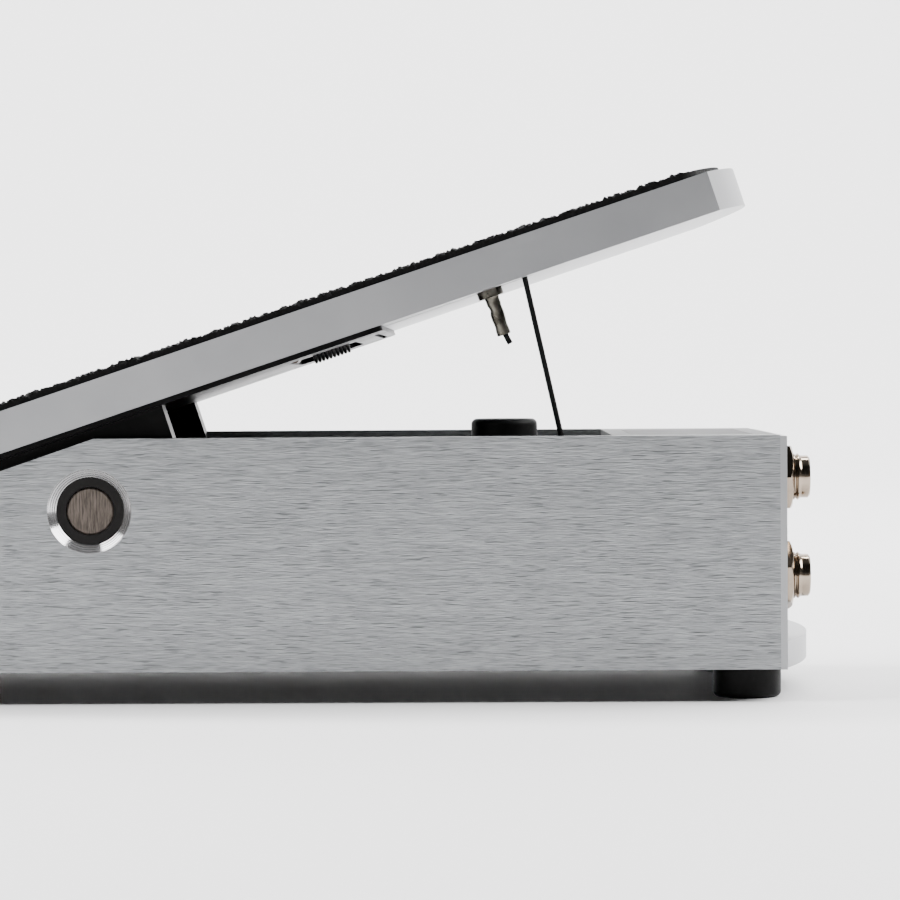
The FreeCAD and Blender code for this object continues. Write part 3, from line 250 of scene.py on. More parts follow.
# %% Rubber of the feet and stops
rubber = Finish("rubber")
pores = rubber.noise(rubber.place(), 3200.0, 2.0)
bloom = rubber.noise(rubber.place(), 140.0, 3.0, 0.6)
rubber.surface(Base_Color=rubber.mix(bloom.spread(0.4, 0.75), (0.0015, 0.0015, 0.0015), (0.007, 0.007, 0.007)),
               Roughness=bloom * 0.2 + 0.42, Specular_IOR_Level=0.13)
rubber.bumps(pores, 0.00006, 0.5)
wear(rubber, "foot_heel_near", "foot_heel_far", "foot_toe_near", "foot_toe_far", "toe_bumper", "heel_bumper")
print("rubber done")

# %% [markdown]
# Moulded plastic is smoother than rubber, with a fine even texture and a slightly warm black.

# %% Plastic of the bushings and jack bodies
plastic = Finish("black_plastic")
texture = plastic.noise(plastic.place(), 1800.0, 3.0)
plastic.surface(Base_Color=plastic.mix(texture, (0.004, 0.0036, 0.0034), (0.009, 0.0082, 0.0078)),
                Roughness=texture * 0.2 + 0.35, Specular_IOR_Level=0.15)
plastic.bumps(texture, 0.00003, 0.4)
wear(plastic, "pivot_bushing_near", "pivot_bushing_far", "upper_jack_body", "lower_jack_body", "power_jack",
     "string_guide", "string_eyelet", "display_module")
print("plastic done")

# %% [markdown]
# Screws are steel with a black oxide, which is still a metal: it mirrors, and it wears grey where it is rubbed.

# %% Black oxide of the screws
oxide = Finish("black_oxide")
rub = oxide.noise(oxide.place(), 700.0, 3.0, 0.6).spread(0.45, 0.7)
oxide.surface(Base_Color=oxide.mix(rub, (0.02, 0.02, 0.021), (0.07, 0.068, 0.065)), Metallic=0.8,
              Roughness=rub * 0.2 + 0.32)
oxide.bumps(rub, 0.00002, 0.3)
wear(oxide, "bezel_screws", "bracket_screws", "deck_screws", "heel_plate_screws", "pot_bracket_screws",
     "guide_screw", "foot_screws", "shaft_set_screws", "pulley_set_screw")
print("screws done")

# %% [markdown]
# The pivot shaft's end shows the marks of the saw and file: short upright scratches over warm steel. They
# are the case's hair lines again, stretched the other way and leaning a little, as a hand files.

# %% Filed steel
steel = Finish("steel")
scratch = steel.noise(steel.along((1100, 300, 90), (0, 0.12, 0)), 3.0, 3.0, 0.7)
patina = steel.noise(steel.place(), 220.0, 3.0)
steel.surface(Base_Color=steel.mix(scratch.spread(0.3, 0.7), (0.035, 0.029, 0.025), (0.17, 0.142, 0.122)),
              Metallic=0.95, Roughness=scratch * 0.2 + patina * 0.1 + 0.22)
steel.bumps(scratch, 0.00005, 0.4)
wear(steel, "pivot_shaft", "spring_pin", "string_spring", "pot_spindle", "pot_case", "pot_bracket",
     "toe_plate_screws")
print("steel done")

# %% [markdown]
# The plated jacks are the opposite, a clean mirror with a slightly golden tint. The string's ferrule has
# the same plating gone dull: darker, and clouded by smut.

# %% Bright and dull nickel
nickel = Finish("nickel")
haze = nickel.noise(nickel.place(), 500.0, 3.0)
nickel.surface(Base_Color=nickel.mix(haze, (0.28, 0.222, 0.168), (0.40, 0.33, 0.262)), Metallic=1.0,
               Roughness=haze * 0.08 + 0.09)
nickel.bumps(haze, 0.00001, 0.3)
wear(nickel, "upper_jack_sleeve", "lower_jack_sleeve", "upper_jack_nut", "lower_jack_nut", "upper_jack_washer",
     "lower_jack_washer", "pot_nut", "pot_washer", "power_jack_nut", "string_ferrule")

dull_nickel = Finish("dull_nickel")
smut = dull_nickel.noise(dull_nickel.place(), 420.0, 4.0, 0.6)
dull_nickel.surface(Base_Color=dull_nickel.mix(smut.spread(0.3, 0.7), (0.035, 0.031, 0.024), (0.15, 0.14, 0.118)),
                    Metallic=0.95, Roughness=smut * 0.12 + 0.22)
dull_nickel.bumps(smut, 0.00003, 0.4)
print("nickel done")

# %% [markdown]
# Inside the case a few parts are turned brass. Fine noise, drawn out along their axis, breaks up their shine.

# %% Turned brass
brass = Finish("brass")
turning = brass.noise(brass.along((600, 40, 600)), 3.0, 2.0)
brass.surface(Base_Color=brass.mix(turning, (0.55, 0.38, 0.14), (0.74, 0.55, 0.25)), Metallic=1.0,
              Roughness=turning * 0.15 + 0.2)
brass.bumps(turning, 0.00003, 0.3)
wear(brass, "string_pulley", "pot_bushing", "heel_anchor")
print("brass done")

# %% [markdown]
# Over the toe sits the display: a satin bezel, matt smoked glass let in flush, and the board below. The
# bezel is given no metal in its shader, so its shine is low and about the same from every side.

# %% Bezel, glass and board
bezel = Finish("satin_bezel")
swirl = bezel.noise(bezel.place(), 90.0, 3.0)
bezel.surface(Base_Color=bezel.mix(swirl, (0.19, 0.192, 0.192), (0.23, 0.232, 0.232)),
              Roughness=swirl * 0.1 + 0.5, Specular_IOR_Level=0.15)
bezel.bumps(swirl, 0.00002, 0.15)
wear(bezel, "display_bezel")

glass = Finish("smoked_glass")
film = glass.noise(glass.place(), 50.0, 3.0)
glass.surface(Base_Color=glass.mix(film, (0.012, 0.012, 0.014), (0.02, 0.02, 0.023)),
              Roughness=film * 0.08 + 0.42, Specular_IOR_Level=0.2)
wear(glass, "display_glass")

board = Finish("circuit_board")
weave = board.noise(board.along((900, 900, 900)), 3.0, 1.0)
board.surface(Base_Color=board.mix(weave, (0.01, 0.09, 0.035), (0.015, 0.13, 0.05)), Roughness=weave * 0.1 + 0.25)
board.bumps(weave, 0.00003, 0.3)
wear(board, "tuner_board")
print("display done")

# %% [markdown]
# Most small turned parts are lathe work: a profile of radius against length, spun about an axis. Blender's
# own primitives could be joined up instead, but a spun profile is one closed skin with nothing inside it,
# and a zigzag profile gives a thread. Here every axis points to the toe.

# %% A lathe and a mesh maker
def mesh_piece(name, spots, faces, finish, slot, smooth=35):
    """A closed mesh as a piece; edges sharper than smooth degrees stay crisp."""
    mesh = bpy.data.meshes.new(name)
    mesh.from_pydata([tuple(v) for v in spots], [], faces)
    shape = bmesh.new()
    shape.from_mesh(mesh)
    bmesh.ops.remove_doubles(shape, verts=shape.verts, dist=1e-7)
    bmesh.ops.recalc_face_normals(shape, faces=shape.faces)
    shape.to_mesh(mesh)
    shape.free()
    mesh.polygons.foreach_set("use_smooth", [True] * len(mesh.polygons))
    mesh.set_sharp_from_angle(angle=math.radians(smooth))
    piece = put_in_scene(name, mesh)
    wear(finish, piece)
    return piece


def ring_faces(sides, count):
    """Faces that join each ring of count points to the next ring, and the last to the first."""
    faces = []
    for i in range(sides):
        for j in range(count):
            k, after = (j + 1) % count, ((i + 1) % sides) * count
            faces.append((i * count + j, i * count + k, after + k, after + j))
    return faces


def spun(profile, at, sides=64):
    """Corners and faces of a closed profile [(length, radius)] spun about a line towards the toe."""
    spots = []
    for i in range(sides):
        turn = 2 * math.pi * i / sides
        out = ACROSS * math.cos(turn) + UP * math.sin(turn)
        spots += [at + (ALONG * length + out * radius) * MM for length, radius in profile]
    return spots, ring_faces(sides, len(profile))


def threaded(start, end, outer, depth, pitch):
    """A zigzag of (length, radius) from start to end."""
    turns = max(1, int((end - start) / pitch))
    step = (end - start) / turns
    zigzag = []
    for i in range(turns):
        for part, radius in ((0, outer - depth), (0.35, outer), (0.6, outer), (0.95, outer - depth)):
            zigzag.append((start + i * step + part * step, radius))
    return zigzag


print("lathe ready")

# %% [markdown]
# A phone jack shows its sleeve, hexagon nut and washer outside the end plate. The sleeve's nose is smooth
# and slightly narrower than its thread. A real nut has its corners turned off at thirty degrees, which
# leaves curved scallops, so the nut's height is worked out from the distance to its axis.

# %% Jack sleeves, nuts and washers
JACK_SIDE = -19.5
SLEEVE_BACK, WASHER_BACK, NUT_BACK = 133.05, 138.4, 138.9
SLEEVE_RADIUS, SLEEVE_BORE = 4.76, 3.25
THREAD_START, THREAD_END, THREAD_DEPTH, THREAD_PITCH = 0.3, 9.9, 0.28, 0.79
NUT_FLATS, NUT_THICK, NUT_CHAMFER = 12.7, 2.4, math.radians(30)
SLEEVE_NOSE = [(9.95, 4.45), (10.1, 4.35), (11.5, 4.35), (11.85, 4.0), (11.85, 3.6), (11.5, SLEEVE_BORE)]
WASHER_RIM = [(0, 4.86), (0, 6.1), (0.1, 6.2), (0.4, 6.2), (0.5, 6.1), (0.5, 4.86)]


def scalloped_nut(at, turn, sides=96):
    """A hexagon nut turned by some degrees. None stands for a size that changes from flat to corner."""
    spots = []
    crown = NUT_FLATS / 2 * 0.985
    rings = [(None, 0.0), (None, None), (crown, NUT_THICK), (SLEEVE_RADIUS + 0.35, NUT_THICK),
             (SLEEVE_RADIUS - 0.1, NUT_THICK - 0.35), (SLEEVE_RADIUS - 0.1, 0.0)]
    for i in range(sides):
        angle = 2 * math.pi * i / sides
        within = (math.degrees(angle) - turn) % 60 - 30
        corner = NUT_FLATS / 2 / math.cos(math.radians(within))
        out = ACROSS * math.cos(angle) + UP * math.sin(angle)
        for radius, height in rings:
            far = corner if radius is None else radius
            rise = NUT_THICK - (corner - crown) * math.tan(NUT_CHAMFER) if height is None else height
            spots.append(at + (ALONG * rise + out * far) * MM)
    return spots, ring_faces(sides, len(rings))


for name, level, turn in (("upper", 5.4, 0.0), ("lower", -14.8, 44.4)):
    thread = threaded(THREAD_START, THREAD_END, SLEEVE_RADIUS, THREAD_DEPTH, THREAD_PITCH)
    profile = [(0, SLEEVE_BORE), (0, SLEEVE_RADIUS)] + thread + SLEEVE_NOSE
    sleeve = mesh_piece(f"{name}_jack_threaded_sleeve", *spun(profile, on_base(SLEEVE_BACK, JACK_SIDE, level)),
                        nickel, "nickel", 28)
    nut = mesh_piece(f"{name}_jack_scalloped_nut", *scalloped_nut(on_base(NUT_BACK, JACK_SIDE, level), turn),
                     nickel, "nickel", 20)
    washer = mesh_piece(f"{name}_jack_flat_washer", *spun(WASHER_RIM, on_base(WASHER_BACK, JACK_SIDE, level)),
                        nickel, "nickel")
    for piece, node in ((sleeve, "sleeve"), (nut, "nut"), (washer, "washer")):
        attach(piece, "base")
        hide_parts(f"{name}_jack_{node}")
    print(name, "jack made,", len(sleeve.data.polygons), "faces in its sleeve")

# %% [markdown]
# Two things here come from Geometry Nodes: whatever follows a path, and the scattered grit. Both start
# with a tree that has named inputs, and both end as a plain mesh, which these helpers take care of.

# %% Starting a tree, wiring it and running it
def start_tree(name, inputs, output):
    """An empty tree, its first and last nodes, and the identifier of each named input."""
    tree = bpy.data.node_groups.new(name, "GeometryNodeTree")
    ids = {title: tree.interface.new_socket(title, in_out="INPUT", socket_type="NodeSocket" + kind).identifier
           for title, kind in inputs}
    tree.interface.new_socket(output, in_out="OUTPUT", socket_type="NodeSocketGeometry")
    return tree, tree.nodes.new("NodeGroupInput"), tree.nodes.new("NodeGroupOutput"), ids


def wire_up(tree, *rows):
    """Each row names a node, its output, the next node and its input."""
    for node, out, after, into in rows:
        tree.links.new(node.outputs[out], after.inputs[into])


def run_tree(tree, ids, values, source, name):
    """The result of a tree on an object, as a plain mesh. The object is used up."""
    modifier = source.modifiers.new("tree", "NODES")
    modifier.node_group = tree
    for title, value in values.items():
        modifier[ids[title]] = value
    mesh = bpy.data.meshes.new_from_object(source.evaluated_get(bpy.context.evaluated_depsgraph_get()))
    bpy.data.objects.remove(source)
    mesh.name = name
    return mesh


print("tree helpers ready")

# %% [markdown]
# The string and the spring's wire each follow a path. A curve's own bevel would give the round section, but
# not the two maps that the braid needs. So the tree takes the curve, sweeps a circle along it, keeps the
# length along the path and the turn round it as attributes, and ends in a plain mesh.

# %% A round section along a path
def sweep_tree():
    inputs = (("Path", "Geometry"), ("Radius", "Float"), ("Sides", "Int"), ("Finish", "Material"))
    tree, start, end, ids = start_tree("round_along_path", inputs, "Piece")
    length = tree.nodes.new("GeometryNodeSplineParameter")
    around = tree.nodes.new("GeometryNodeSplineParameter")
    keep_length = tree.nodes.new("GeometryNodeStoreNamedAttribute")
    keep_turn = tree.nodes.new("GeometryNodeStoreNamedAttribute")
    for keep, title in ((keep_length, "run"), (keep_turn, "around")):
        keep.data_type, keep.domain = "FLOAT", "POINT"
        keep.inputs["Name"].default_value = title
    ring = tree.nodes.new("GeometryNodeCurvePrimitiveCircle")
    sweep = tree.nodes.new("GeometryNodeCurveToMesh")
    sweep.inputs["Fill Caps"].default_value = True
    real = tree.nodes.new("GeometryNodeRealizeInstances")
    paint = tree.nodes.new("GeometryNodeSetMaterial")
    wire_up(tree,
            (start, "Path", keep_length, "Geometry"), (length, "Length", keep_length, "Value"),
            (start, "Radius", ring, "Radius"), (start, "Sides", ring, "Resolution"),
            (ring, "Curve", keep_turn, "Geometry"), (around, "Factor", keep_turn, "Value"),
            (keep_length, "Geometry", sweep, "Curve"), (keep_turn, "Geometry", sweep, "Profile Curve"),
            (sweep, "Mesh", real, "Geometry"), (real, "Geometry", paint, "Geometry"),
            (start, "Finish", paint, "Material"), (paint, "Geometry", end, "Piece"))
    return tree, ids


SWEEP, SWEEP_INPUTS = sweep_tree()


def swept(name, points, radius, sides, finish, order=4, steps=12):
    """A round wire or string through the points, as one closed mesh; radius is in millimetres."""
    curve = bpy.data.curves.new(name + "_path", "CURVE")
    curve.dimensions, curve.resolution_u = "3D", steps
    spline = curve.splines.new("NURBS")
    spline.points.add(len(points) - 1)
    for spot, point in zip(spline.points, points):
        spot.co = (*point, 1)
    spline.order_u, spline.use_endpoint_u = order, True
    values = {"Radius": radius * MM, "Sides": sides, "Finish": finish.material}
    mesh = run_tree(SWEEP, SWEEP_INPUTS, values, put_in_scene(name + "_path", curve), name)
    mesh.polygons.foreach_set("use_smooth", [True] * len(mesh.polygons))
    mesh.set_sharp_from_angle(angle=math.radians(50))
    piece = put_in_scene(name, mesh)
    return piece


print("sweep tree ready:", SWEEP_INPUTS)

# %% [markdown]
# The string is a black braid about a millimetre thick. A braid's relief is two sets of waves that run
# round it in opposite directions, read from the length and turn that the sweep kept on the mesh. Modelling
# each strand would take many times the faces, for a detail a tenth of a millimetre high.

# %% Braid finish
RATE_ALONG = 5200   # radians for each metre along: a wave every 1.2 mm
RATE_ROUND = 25.13  # radians for one turn round: four waves

braid = Finish("braided_string")
run = braid.node("ShaderNodeAttribute", {"attribute_name": "run"}, out=2) * RATE_ALONG
about = braid.node("ShaderNodeAttribute", {"attribute_name": "around"}, out=2) * RATE_ROUND
plait = (run + about).wave().most((run - about).wave()).spread(-0.2, 1.0)
fuzz = braid.noise(braid.place(), 4000.0, 2.0)
# The colour follows the plait: darker in the grooves between strands, which is painted shade, and a little fine
# fuzz, which is the fibre's own tone.
braid.surface(Base_Color=braid.mix(plait * 0.8 + fuzz * 0.2, (0.001, 0.001, 0.001), (0.006, 0.0058, 0.0058)),
              Roughness=fuzz * 0.3 + 0.6, Specular_IOR_Level=0.12)
braid.bumps(plait, 0.00012, 0.8)
print("braid ready")

# %% [markdown]
# The string's shape comes from its job. It leaves the treadle through a small eyelet, wraps the pulley
# twice, runs the length of the case and rises to an anchor under the heel. Its tail comes back through
# the footplate's groove from the spring's hook and ends in the ferrule. Four pieces: the tail moves with
# the treadle, the long run stays in the base, and the leg at the toe and the riser at the heel cross
# from one to the other and are attached to neither body.

# %% The string's size and helpers
STRING_RADIUS = 0.55
WRAP_RADIUS = 6.65
PULLEY = Vector((92.4, -35.0, -9.4))
LEAVE = math.radians(12.9)
LEG_SIDE, WRAP_END_SIDE, RUN_SIDE = -35.0, -32.2, -32.1


def string_piece(name, points, order=4, steps=12):
    return swept(name, points, STRING_RADIUS, 16, braid, order, steps)


def wrap(first, last, steps):
    """Points round the pulley, from one angle to another."""
    ring = []
    for i in range(steps + 1):
        part = i / steps
        angle = first + (last - first) * part
        ring.append(on_base(PULLEY.x + WRAP_RADIUS * 1.012 * math.cos(angle),
                            LEG_SIDE + (WRAP_END_SIDE - LEG_SIDE) * part,
                            PULLEY.z + WRAP_RADIUS * 1.012 * math.sin(angle)))
    return ring


print("string of radius", STRING_RADIUS, "mm round a pulley of", WRAP_RADIUS, "mm")

# %% The leg at the toe, with its turns on the pulley
GROOVE_HIGH, GROOVE_LOW = 18.45, 17.2
exit_top = on_treadle(97.0, LEG_SIDE, GROOVE_HIGH - 0.3)
first_touch = on_base(PULLEY.x + WRAP_RADIUS * math.cos(LEAVE), LEG_SIDE, PULLEY.z + WRAP_RADIUS * math.sin(LEAVE))
leg = [exit_top.lerp(first_touch, part) for part in (0, 0.05, 0.25, 0.5, 0.75, 0.93)]
toe_leg = string_piece("string_toe_leg", leg + wrap(LEAVE - 0.1, -math.pi / 2 - 4 * math.pi, 60))
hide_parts("string")
print("toe leg of", len(toe_leg.data.polygons), "faces")

# %% The long run in the case
leave_low = on_base(PULLEY.x, WRAP_END_SIDE, PULLEY.z - WRAP_RADIUS)
heel_run = [leave_low + Vector((3, 0, 0)) * MM, leave_low,
            leave_low.lerp(on_base(-88, RUN_SIDE, -26.2), 0.5), on_base(-84, RUN_SIDE, -26.0),
            on_base(-90.4, RUN_SIDE, -26.4), on_base(-95.06, RUN_SIDE, -26.3), on_base(-95.1, RUN_SIDE, -22.2)]
long_run = string_piece("string_long_run", heel_run)
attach(long_run, "base")
print("long run of", len(long_run.data.polygons), "faces")

# %% The riser at the heel
riser_foot = on_base(-95.1, RUN_SIDE, -22.6)
anchor = on_treadle(-95.5, RUN_SIDE, 14.6)
heel_leg = string_piece("string_heel_leg", [riser_foot.lerp(anchor, part / 6) for part in range(7)], 2, 4)
print("heel leg of", len(heel_leg.data.polygons), "faces")

# %% The tail, from the ferrule to the hook and back
FERRULE_X, FERRULE_Y = 89.3, -31.7
tail = [(89.9, FERRULE_Y, 4.9), (89.45, FERRULE_Y, 7.2), (FERRULE_X, FERRULE_Y, 10), (FERRULE_X, FERRULE_Y, 14),
        (FERRULE_X, FERRULE_Y, 16.8), (88.6, -31.4, GROOVE_LOW), (75, -25.8, GROOVE_LOW),
        (63.2, -20.4, GROOVE_LOW), (62.0, -20.0, 17.8), (63.2, -20.6, GROOVE_HIGH), (80, -28.0, GROOVE_HIGH),
        (96.4, -34.8, GROOVE_HIGH), (97.0, LEG_SIDE, GROOVE_HIGH - 0.3)]
string_tail = string_piece("string_tail", [on_treadle(*spot) for spot in tail])
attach(string_tail, "treadle")
print("tail of", len(string_tail.data.polygons), "faces")

# %% [markdown]
# The tension spring sits in the window of the black plate. Its coils are one helix of wire, close-wound
# as a tension spring is, with a bent hook at each end. One curve makes hooks and coils together, so that
# the wire never has a joint.

# %% The coiled spring
COIL_START, COIL_END, COIL_RADIUS, WIRE = 50.7, 58.6, 2.15, 0.35
COIL_SIDE, COIL_LEVEL, COIL_STEPS = -20.0, 16.15, 12
COIL_TURNS = int((COIL_END - COIL_START) / (2 * WIRE + 0.08))
heel_hook = [(48.4, -20.0, 16.9), (49.4, -20.0, 16.9), (50.2, -20.3, 16.6)]
toe_hook = [(59.2, -20.2, 17.2), (60.4, -20.0, 17.8), (61.6, -20.0, 17.8)]
helix = []
for i in range(COIL_TURNS * COIL_STEPS + 1):
    angle = 2 * math.pi * i / COIL_STEPS
    helix.append((COIL_START + (COIL_END - COIL_START) * i / (COIL_TURNS * COIL_STEPS),
                  COIL_SIDE + COIL_RADIUS * math.sin(angle), COIL_LEVEL + COIL_RADIUS * math.cos(angle)))
coils = [on_treadle(*spot) for spot in heel_hook + helix + toe_hook]
spring = swept("string_spring_coils", coils, WIRE, 10, oxide, 4, 3)
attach(spring, "treadle")
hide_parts("string_spring")
print("spring of", COIL_TURNS, "turns,", len(spring.data.polygons), "faces")

# %% [markdown]
# The ferrule is a plated collar under the footplate and a thin tube crimped flat on the string's tail.
# A lathe can't pinch, so rings of points with their own width and depth make it: round at the collar,
# squeezed and pushed aside where the tool bit.

# %% The crimped ferrule
FERRULE_RINGS = [  # level, half width along X, half width along Y, shift along X
    (16.5, 2.55, 2.55, 0.0), (16.4, 2.6, 2.6, 0.0), (15.1, 2.6, 2.6, 0.0), (14.95, 2.45, 2.45, 0.0),
    (14.9, 1.55, 1.55, 0.0), (14.5, 1.42, 1.42, 0.0), (13.4, 1.42, 1.42, 0.02), (12.9, 1.30, 1.46, 0.08),
    (12.3, 1.27, 1.50, 0.12), (11.7, 1.38, 1.44, 0.08), (11.2, 1.42, 1.42, 0.02), (10.2, 1.40, 1.42, 0.0),
    (9.4, 1.30, 1.50, 0.0), (8.7, 1.29, 1.52, 0.0), (8.1, 1.38, 1.44, 0.0), (7.4, 1.40, 1.42, 0.0),
    (7.05, 1.38, 1.38, 0.0), (6.95, 1.2, 1.2, 0.0), (6.95, 0.66, 0.66, 0.0), (16.5, 0.66, 0.66, 0.0)]


def crimped_ferrule(sides=48):
    spots = []
    for i in range(sides):
        angle = 2 * math.pi * i / sides
        for level, wide, deep, shift in FERRULE_RINGS:
            spots.append(on_treadle(FERRULE_X + shift + wide * math.cos(angle),
                                    FERRULE_Y + deep * math.sin(angle), level))
    return spots, ring_faces(sides, len(FERRULE_RINGS))


ferrule = mesh_piece("crimped_ferrule", *crimped_ferrule(), dull_nickel, "nickel", 40)
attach(ferrule, "treadle")
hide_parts("string_ferrule")
print("ferrule of", len(ferrule.data.polygons), "faces")

# %% [markdown]
# The grip sheet is coarse mineral grit glued to a thin backing. A bump map would make its face rough but
# leave its edge a clean line, and the edge is what shows from the side. So the sheet is scattered with
# thousands of small angular grains by Geometry Nodes, each turned and sized at random from a fixed seed.
# A grain is a box of twelve triangles: no more shows at this size.

# %% Grit finish
grit = Finish("grit")
speck = grit.noise(grit.place(), 1500.0, 3.0, 0.7)
glint = grit.noise(grit.place(), 5200.0, 1.0).above(0.72)
grit.surface(Base_Color=grit.mix(speck.spread(0.35, 0.75), (0.001, 0.001, 0.001), (0.007, 0.007, 0.0073)),
             Roughness=speck * 0.3 + 0.5 - glint * 0.35, Specular_IOR_Level=0.1)
grit.bumps(speck, 0.0003, 0.8)
wear(grit, "grip_pad")
print("grit on the grip sheet")

# %% Grains over the sheet
GRAINS_PER_SQUARE_METRE, GRIT_SEED = 520000.0, 11
GRAIN_SIZE = (1.7 * MM, 1.35 * MM, 1.1 * MM)
SMALLEST_GRAIN, FULL_TURN = 0.4, 6.28
SHEET_HEEL, SHEET_TOE, SHEET_BOW, SHEET_HALF_WIDTH, SHEET_LEVEL = -106.0, 131.5, 8.0, 42.6, 25.5


def grain_tree():
    inputs = (("Sheet", "Geometry"), ("Grains per square metre", "Float"), ("Grain size", "Vector"),
              ("Seed", "Int"), ("Finish", "Material"))
    tree, start, end, ids = start_tree("scattered_grit", inputs, "Grit")
    scatter = tree.nodes.new("GeometryNodeDistributePointsOnFaces")
    grain = tree.nodes.new("GeometryNodeMeshCube")
    size, turn = tree.nodes.new("FunctionNodeRandomValue"), tree.nodes.new("FunctionNodeRandomValue")
    size.data_type = turn.data_type = "FLOAT_VECTOR"
    size.inputs["Min"].default_value = (SMALLEST_GRAIN,) * 3
    size.inputs["Max"].default_value = (1.0, 1.0, 1.0)
    turn.inputs["Max"].default_value = (FULL_TURN,) * 3
    put = tree.nodes.new("GeometryNodeInstanceOnPoints")
    real = tree.nodes.new("GeometryNodeRealizeInstances")
    paint = tree.nodes.new("GeometryNodeSetMaterial")
    wire_up(tree,
            (start, "Sheet", scatter, "Mesh"), (start, "Grains per square metre", scatter, "Density"),
            (start, "Seed", scatter, "Seed"), (start, "Grain size", grain, "Size"),
            (scatter, "Points", put, "Points"), (grain, "Mesh", put, "Instance"),
            (size, "Value", put, "Scale"), (turn, "Value", put, "Rotation"),
            (put, "Instances", real, "Geometry"), (real, "Geometry", paint, "Geometry"),
            (start, "Finish", paint, "Material"), (paint, "Geometry", end, "Grit"))
    return tree, ids


def sheet_field(steps=12):
    """One flat face with the sheet's outline: square at the heel, a shallow bow at the toe."""
    outline = [(SHEET_HEEL, SHEET_HALF_WIDTH), (SHEET_HEEL, -SHEET_HALF_WIDTH)]
    for step in range(steps + 1):
        side = -SHEET_HALF_WIDTH + 2 * SHEET_HALF_WIDTH * step / steps
        outline.append((SHEET_TOE + SHEET_BOW * (1 - (side / SHEET_HALF_WIDTH) ** 2), side))
    mesh = bpy.data.meshes.new("grit_field")
    mesh.from_pydata([tuple(on_treadle(x, y, SHEET_LEVEL)) for x, y in outline], [], [tuple(range(len(outline)))])
    return put_in_scene("grit_field", mesh)


tree, ids = grain_tree()
values = {"Grains per square metre": GRAINS_PER_SQUARE_METRE, "Grain size": GRAIN_SIZE, "Seed": GRIT_SEED,
          "Finish": grit.material}
grains = put_in_scene("grip_grit", run_tree(tree, ids, values, sheet_field(), "grip_grit"))
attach(grains, "treadle")
print("grit faces:", len(grains.data.polygons))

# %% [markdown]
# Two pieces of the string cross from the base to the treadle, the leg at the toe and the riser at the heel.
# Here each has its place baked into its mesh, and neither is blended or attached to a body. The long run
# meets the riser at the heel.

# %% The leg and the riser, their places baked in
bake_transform(toe_leg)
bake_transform(heel_leg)

# %% [markdown]
# A plain pale floor that curves up into a backdrop has no corner behind the pedal, so the eye finds no
# line there. It is staged, which keeps it out of the model.

# %% Floor and backdrop
FLOOR_FRONT, BEND_START, BEND_RADIUS, BACKDROP_TOP, FLOOR_HALF_WIDTH = -3.0, 1.2, 0.6, 4.0, 4.0
paper = Finish("pale_sweep")
tooth = paper.noise(paper.place(), 300.0, 2.0)
paper.surface(Base_Color=paper.mix(tooth, (0.80, 0.795, 0.80), (0.82, 0.815, 0.82)), Roughness=tooth * 0.05 + 0.6)
bend = [math.pi / 2 * i / 16 for i in range(17)]
profile = [(FLOOR_FRONT, 0.0)]
profile += [(BEND_START + BEND_RADIUS * math.sin(a), BEND_RADIUS - BEND_RADIUS * math.cos(a)) for a in bend]
profile += [(BEND_START + BEND_RADIUS, BACKDROP_TOP)]
spots = [(x, y, z) for y, z in profile for x in (-FLOOR_HALF_WIDTH, FLOOR_HALF_WIDTH)]
mesh = bpy.data.meshes.new("sweep")
mesh.from_pydata(spots, [], [(2 * i, 2 * i + 1, 2 * i + 3, 2 * i + 2) for i in range(len(profile) - 1)])
mesh.polygons.foreach_set("use_smooth", [True] * len(mesh.polygons))
mesh.materials.append(paper.material)
put_in_scene("sweep", mesh)
print("floor of", len(mesh.polygons), "faces")

# %% [markdown]
# Bright metal is only as good as what it mirrors. Two large soft boxes stand left and right of the pedal and
# give the ring round the pivot its two glints. The front of the room is dim above, so the plated nuts get
# their dark upper faces, and a low weak lamp there fills in the near side. One more lamp, behind the pedal,
# whitens the backdrop.

# %% Lights
def soft_light(name, place, aim, size, power):
    lamp = bpy.data.lights.new(name, "AREA")
    lamp.shape, lamp.size, lamp.size_y, lamp.energy = "RECTANGLE", size[0], size[1], power
    holder = put_in_scene(name, lamp)
    holder.location = place
    holder.rotation_euler = (Vector(aim) - Vector(place)).to_track_quat("-Z", "Y").to_euler()


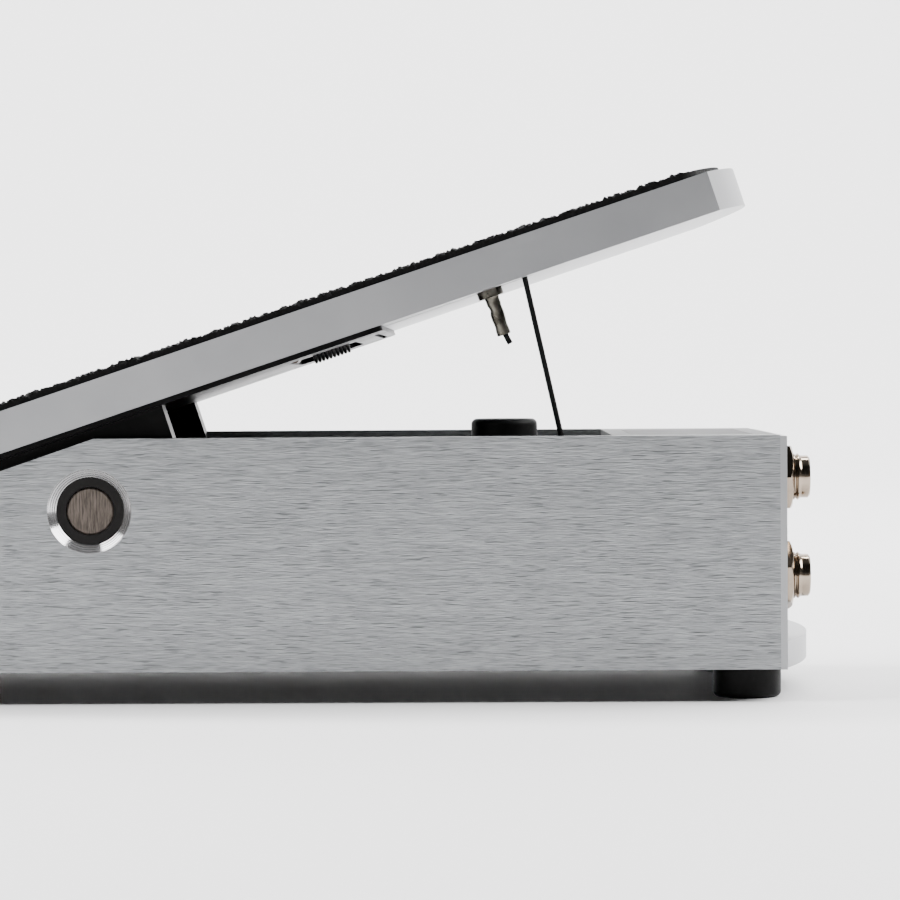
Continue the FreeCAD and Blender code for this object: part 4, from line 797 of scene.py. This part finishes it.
soft_light("left_box", (-1.15, 0.0, 1.30), (0, 0, 0.03), (1.1, 1.0), 62)
soft_light("right_box", (1.30, 0.0, 1.20), (0, 0, 0.03), (1.1, 1.0), 62)
soft_light("backdrop_lamp", (0.0, 0.75, 1.9), (0, 1.75, 0.4), (3.0, 0.6), 120)
soft_light("front_fill", (-1.3, -1.8, 0.38), (0, 0, 0.05), (1.4, 0.6), 5.5)

# %% [markdown]
# The rest of the room is one ramp from the horizon up: grey low down, nearly black above, and a little
# lighter overhead. It only has to look right in the metal's reflections.

# %% The room
HORIZON, OVERHEAD = (0.0, 0.27), (1.0, 0.14)
BETWEEN = ((0.10, 0.23), (0.28, 0.04), (0.85, 0.02))
world = bpy.data.worlds.new("studio")
world.use_nodes = True
room = world.node_tree
direction = room.nodes.new("ShaderNodeTexCoord")
parts = room.nodes.new("ShaderNodeSeparateXYZ")
ramp = room.nodes.new("ShaderNodeValToRGB")
for stop, (at, shade) in zip(ramp.color_ramp.elements, (HORIZON, OVERHEAD)):
    stop.position, stop.color = at, (shade, shade, shade, 1)
for at, shade in BETWEEN:
    ramp.color_ramp.elements.new(at).color = (shade, shade, shade, 1)
wire_up(room, (direction, "Generated", parts, 0), (parts, "Z", ramp, "Fac"),
        (ramp, "Color", room.nodes["Background"], "Color"))
room.nodes["Background"].inputs["Strength"].default_value = 1.0
bpy.context.scene.world = world
print("room shades:", [round(stop.color[0], 2) for stop in ramp.color_ramp.elements])

# %% [markdown]
# A long lens from the side keeps the pedal's long edges nearly parallel. The camera stands well back, and is
# turned, tipped and rolled by a degree or so, as on a tripod set by hand.

# %% Camera
LENS, SENSOR = 137.36, 36.0
CASE_SIDE, DISTANCE = -0.0445, 0.680
TURN, TIP, ROLL = math.radians(0.843), math.radians(90 - 1.264), math.radians(-0.35)
lens = bpy.data.cameras.new("side_camera")
lens.sensor_width, lens.lens = SENSOR, LENS
lens.clip_start, lens.clip_end = 0.01, 20
camera = put_in_scene("side_camera", lens)
camera.location = (0.0637, CASE_SIDE - DISTANCE, 0.0653)
aim = Matrix.Rotation(TURN, 4, "Z") @ Matrix.Rotation(TIP, 4, "X") @ Matrix.Rotation(ROLL, 4, "Z")
camera.rotation_euler = aim.to_euler()
bpy.context.scene.camera = camera
print("camera at", [round(v, 3) for v in camera.location])
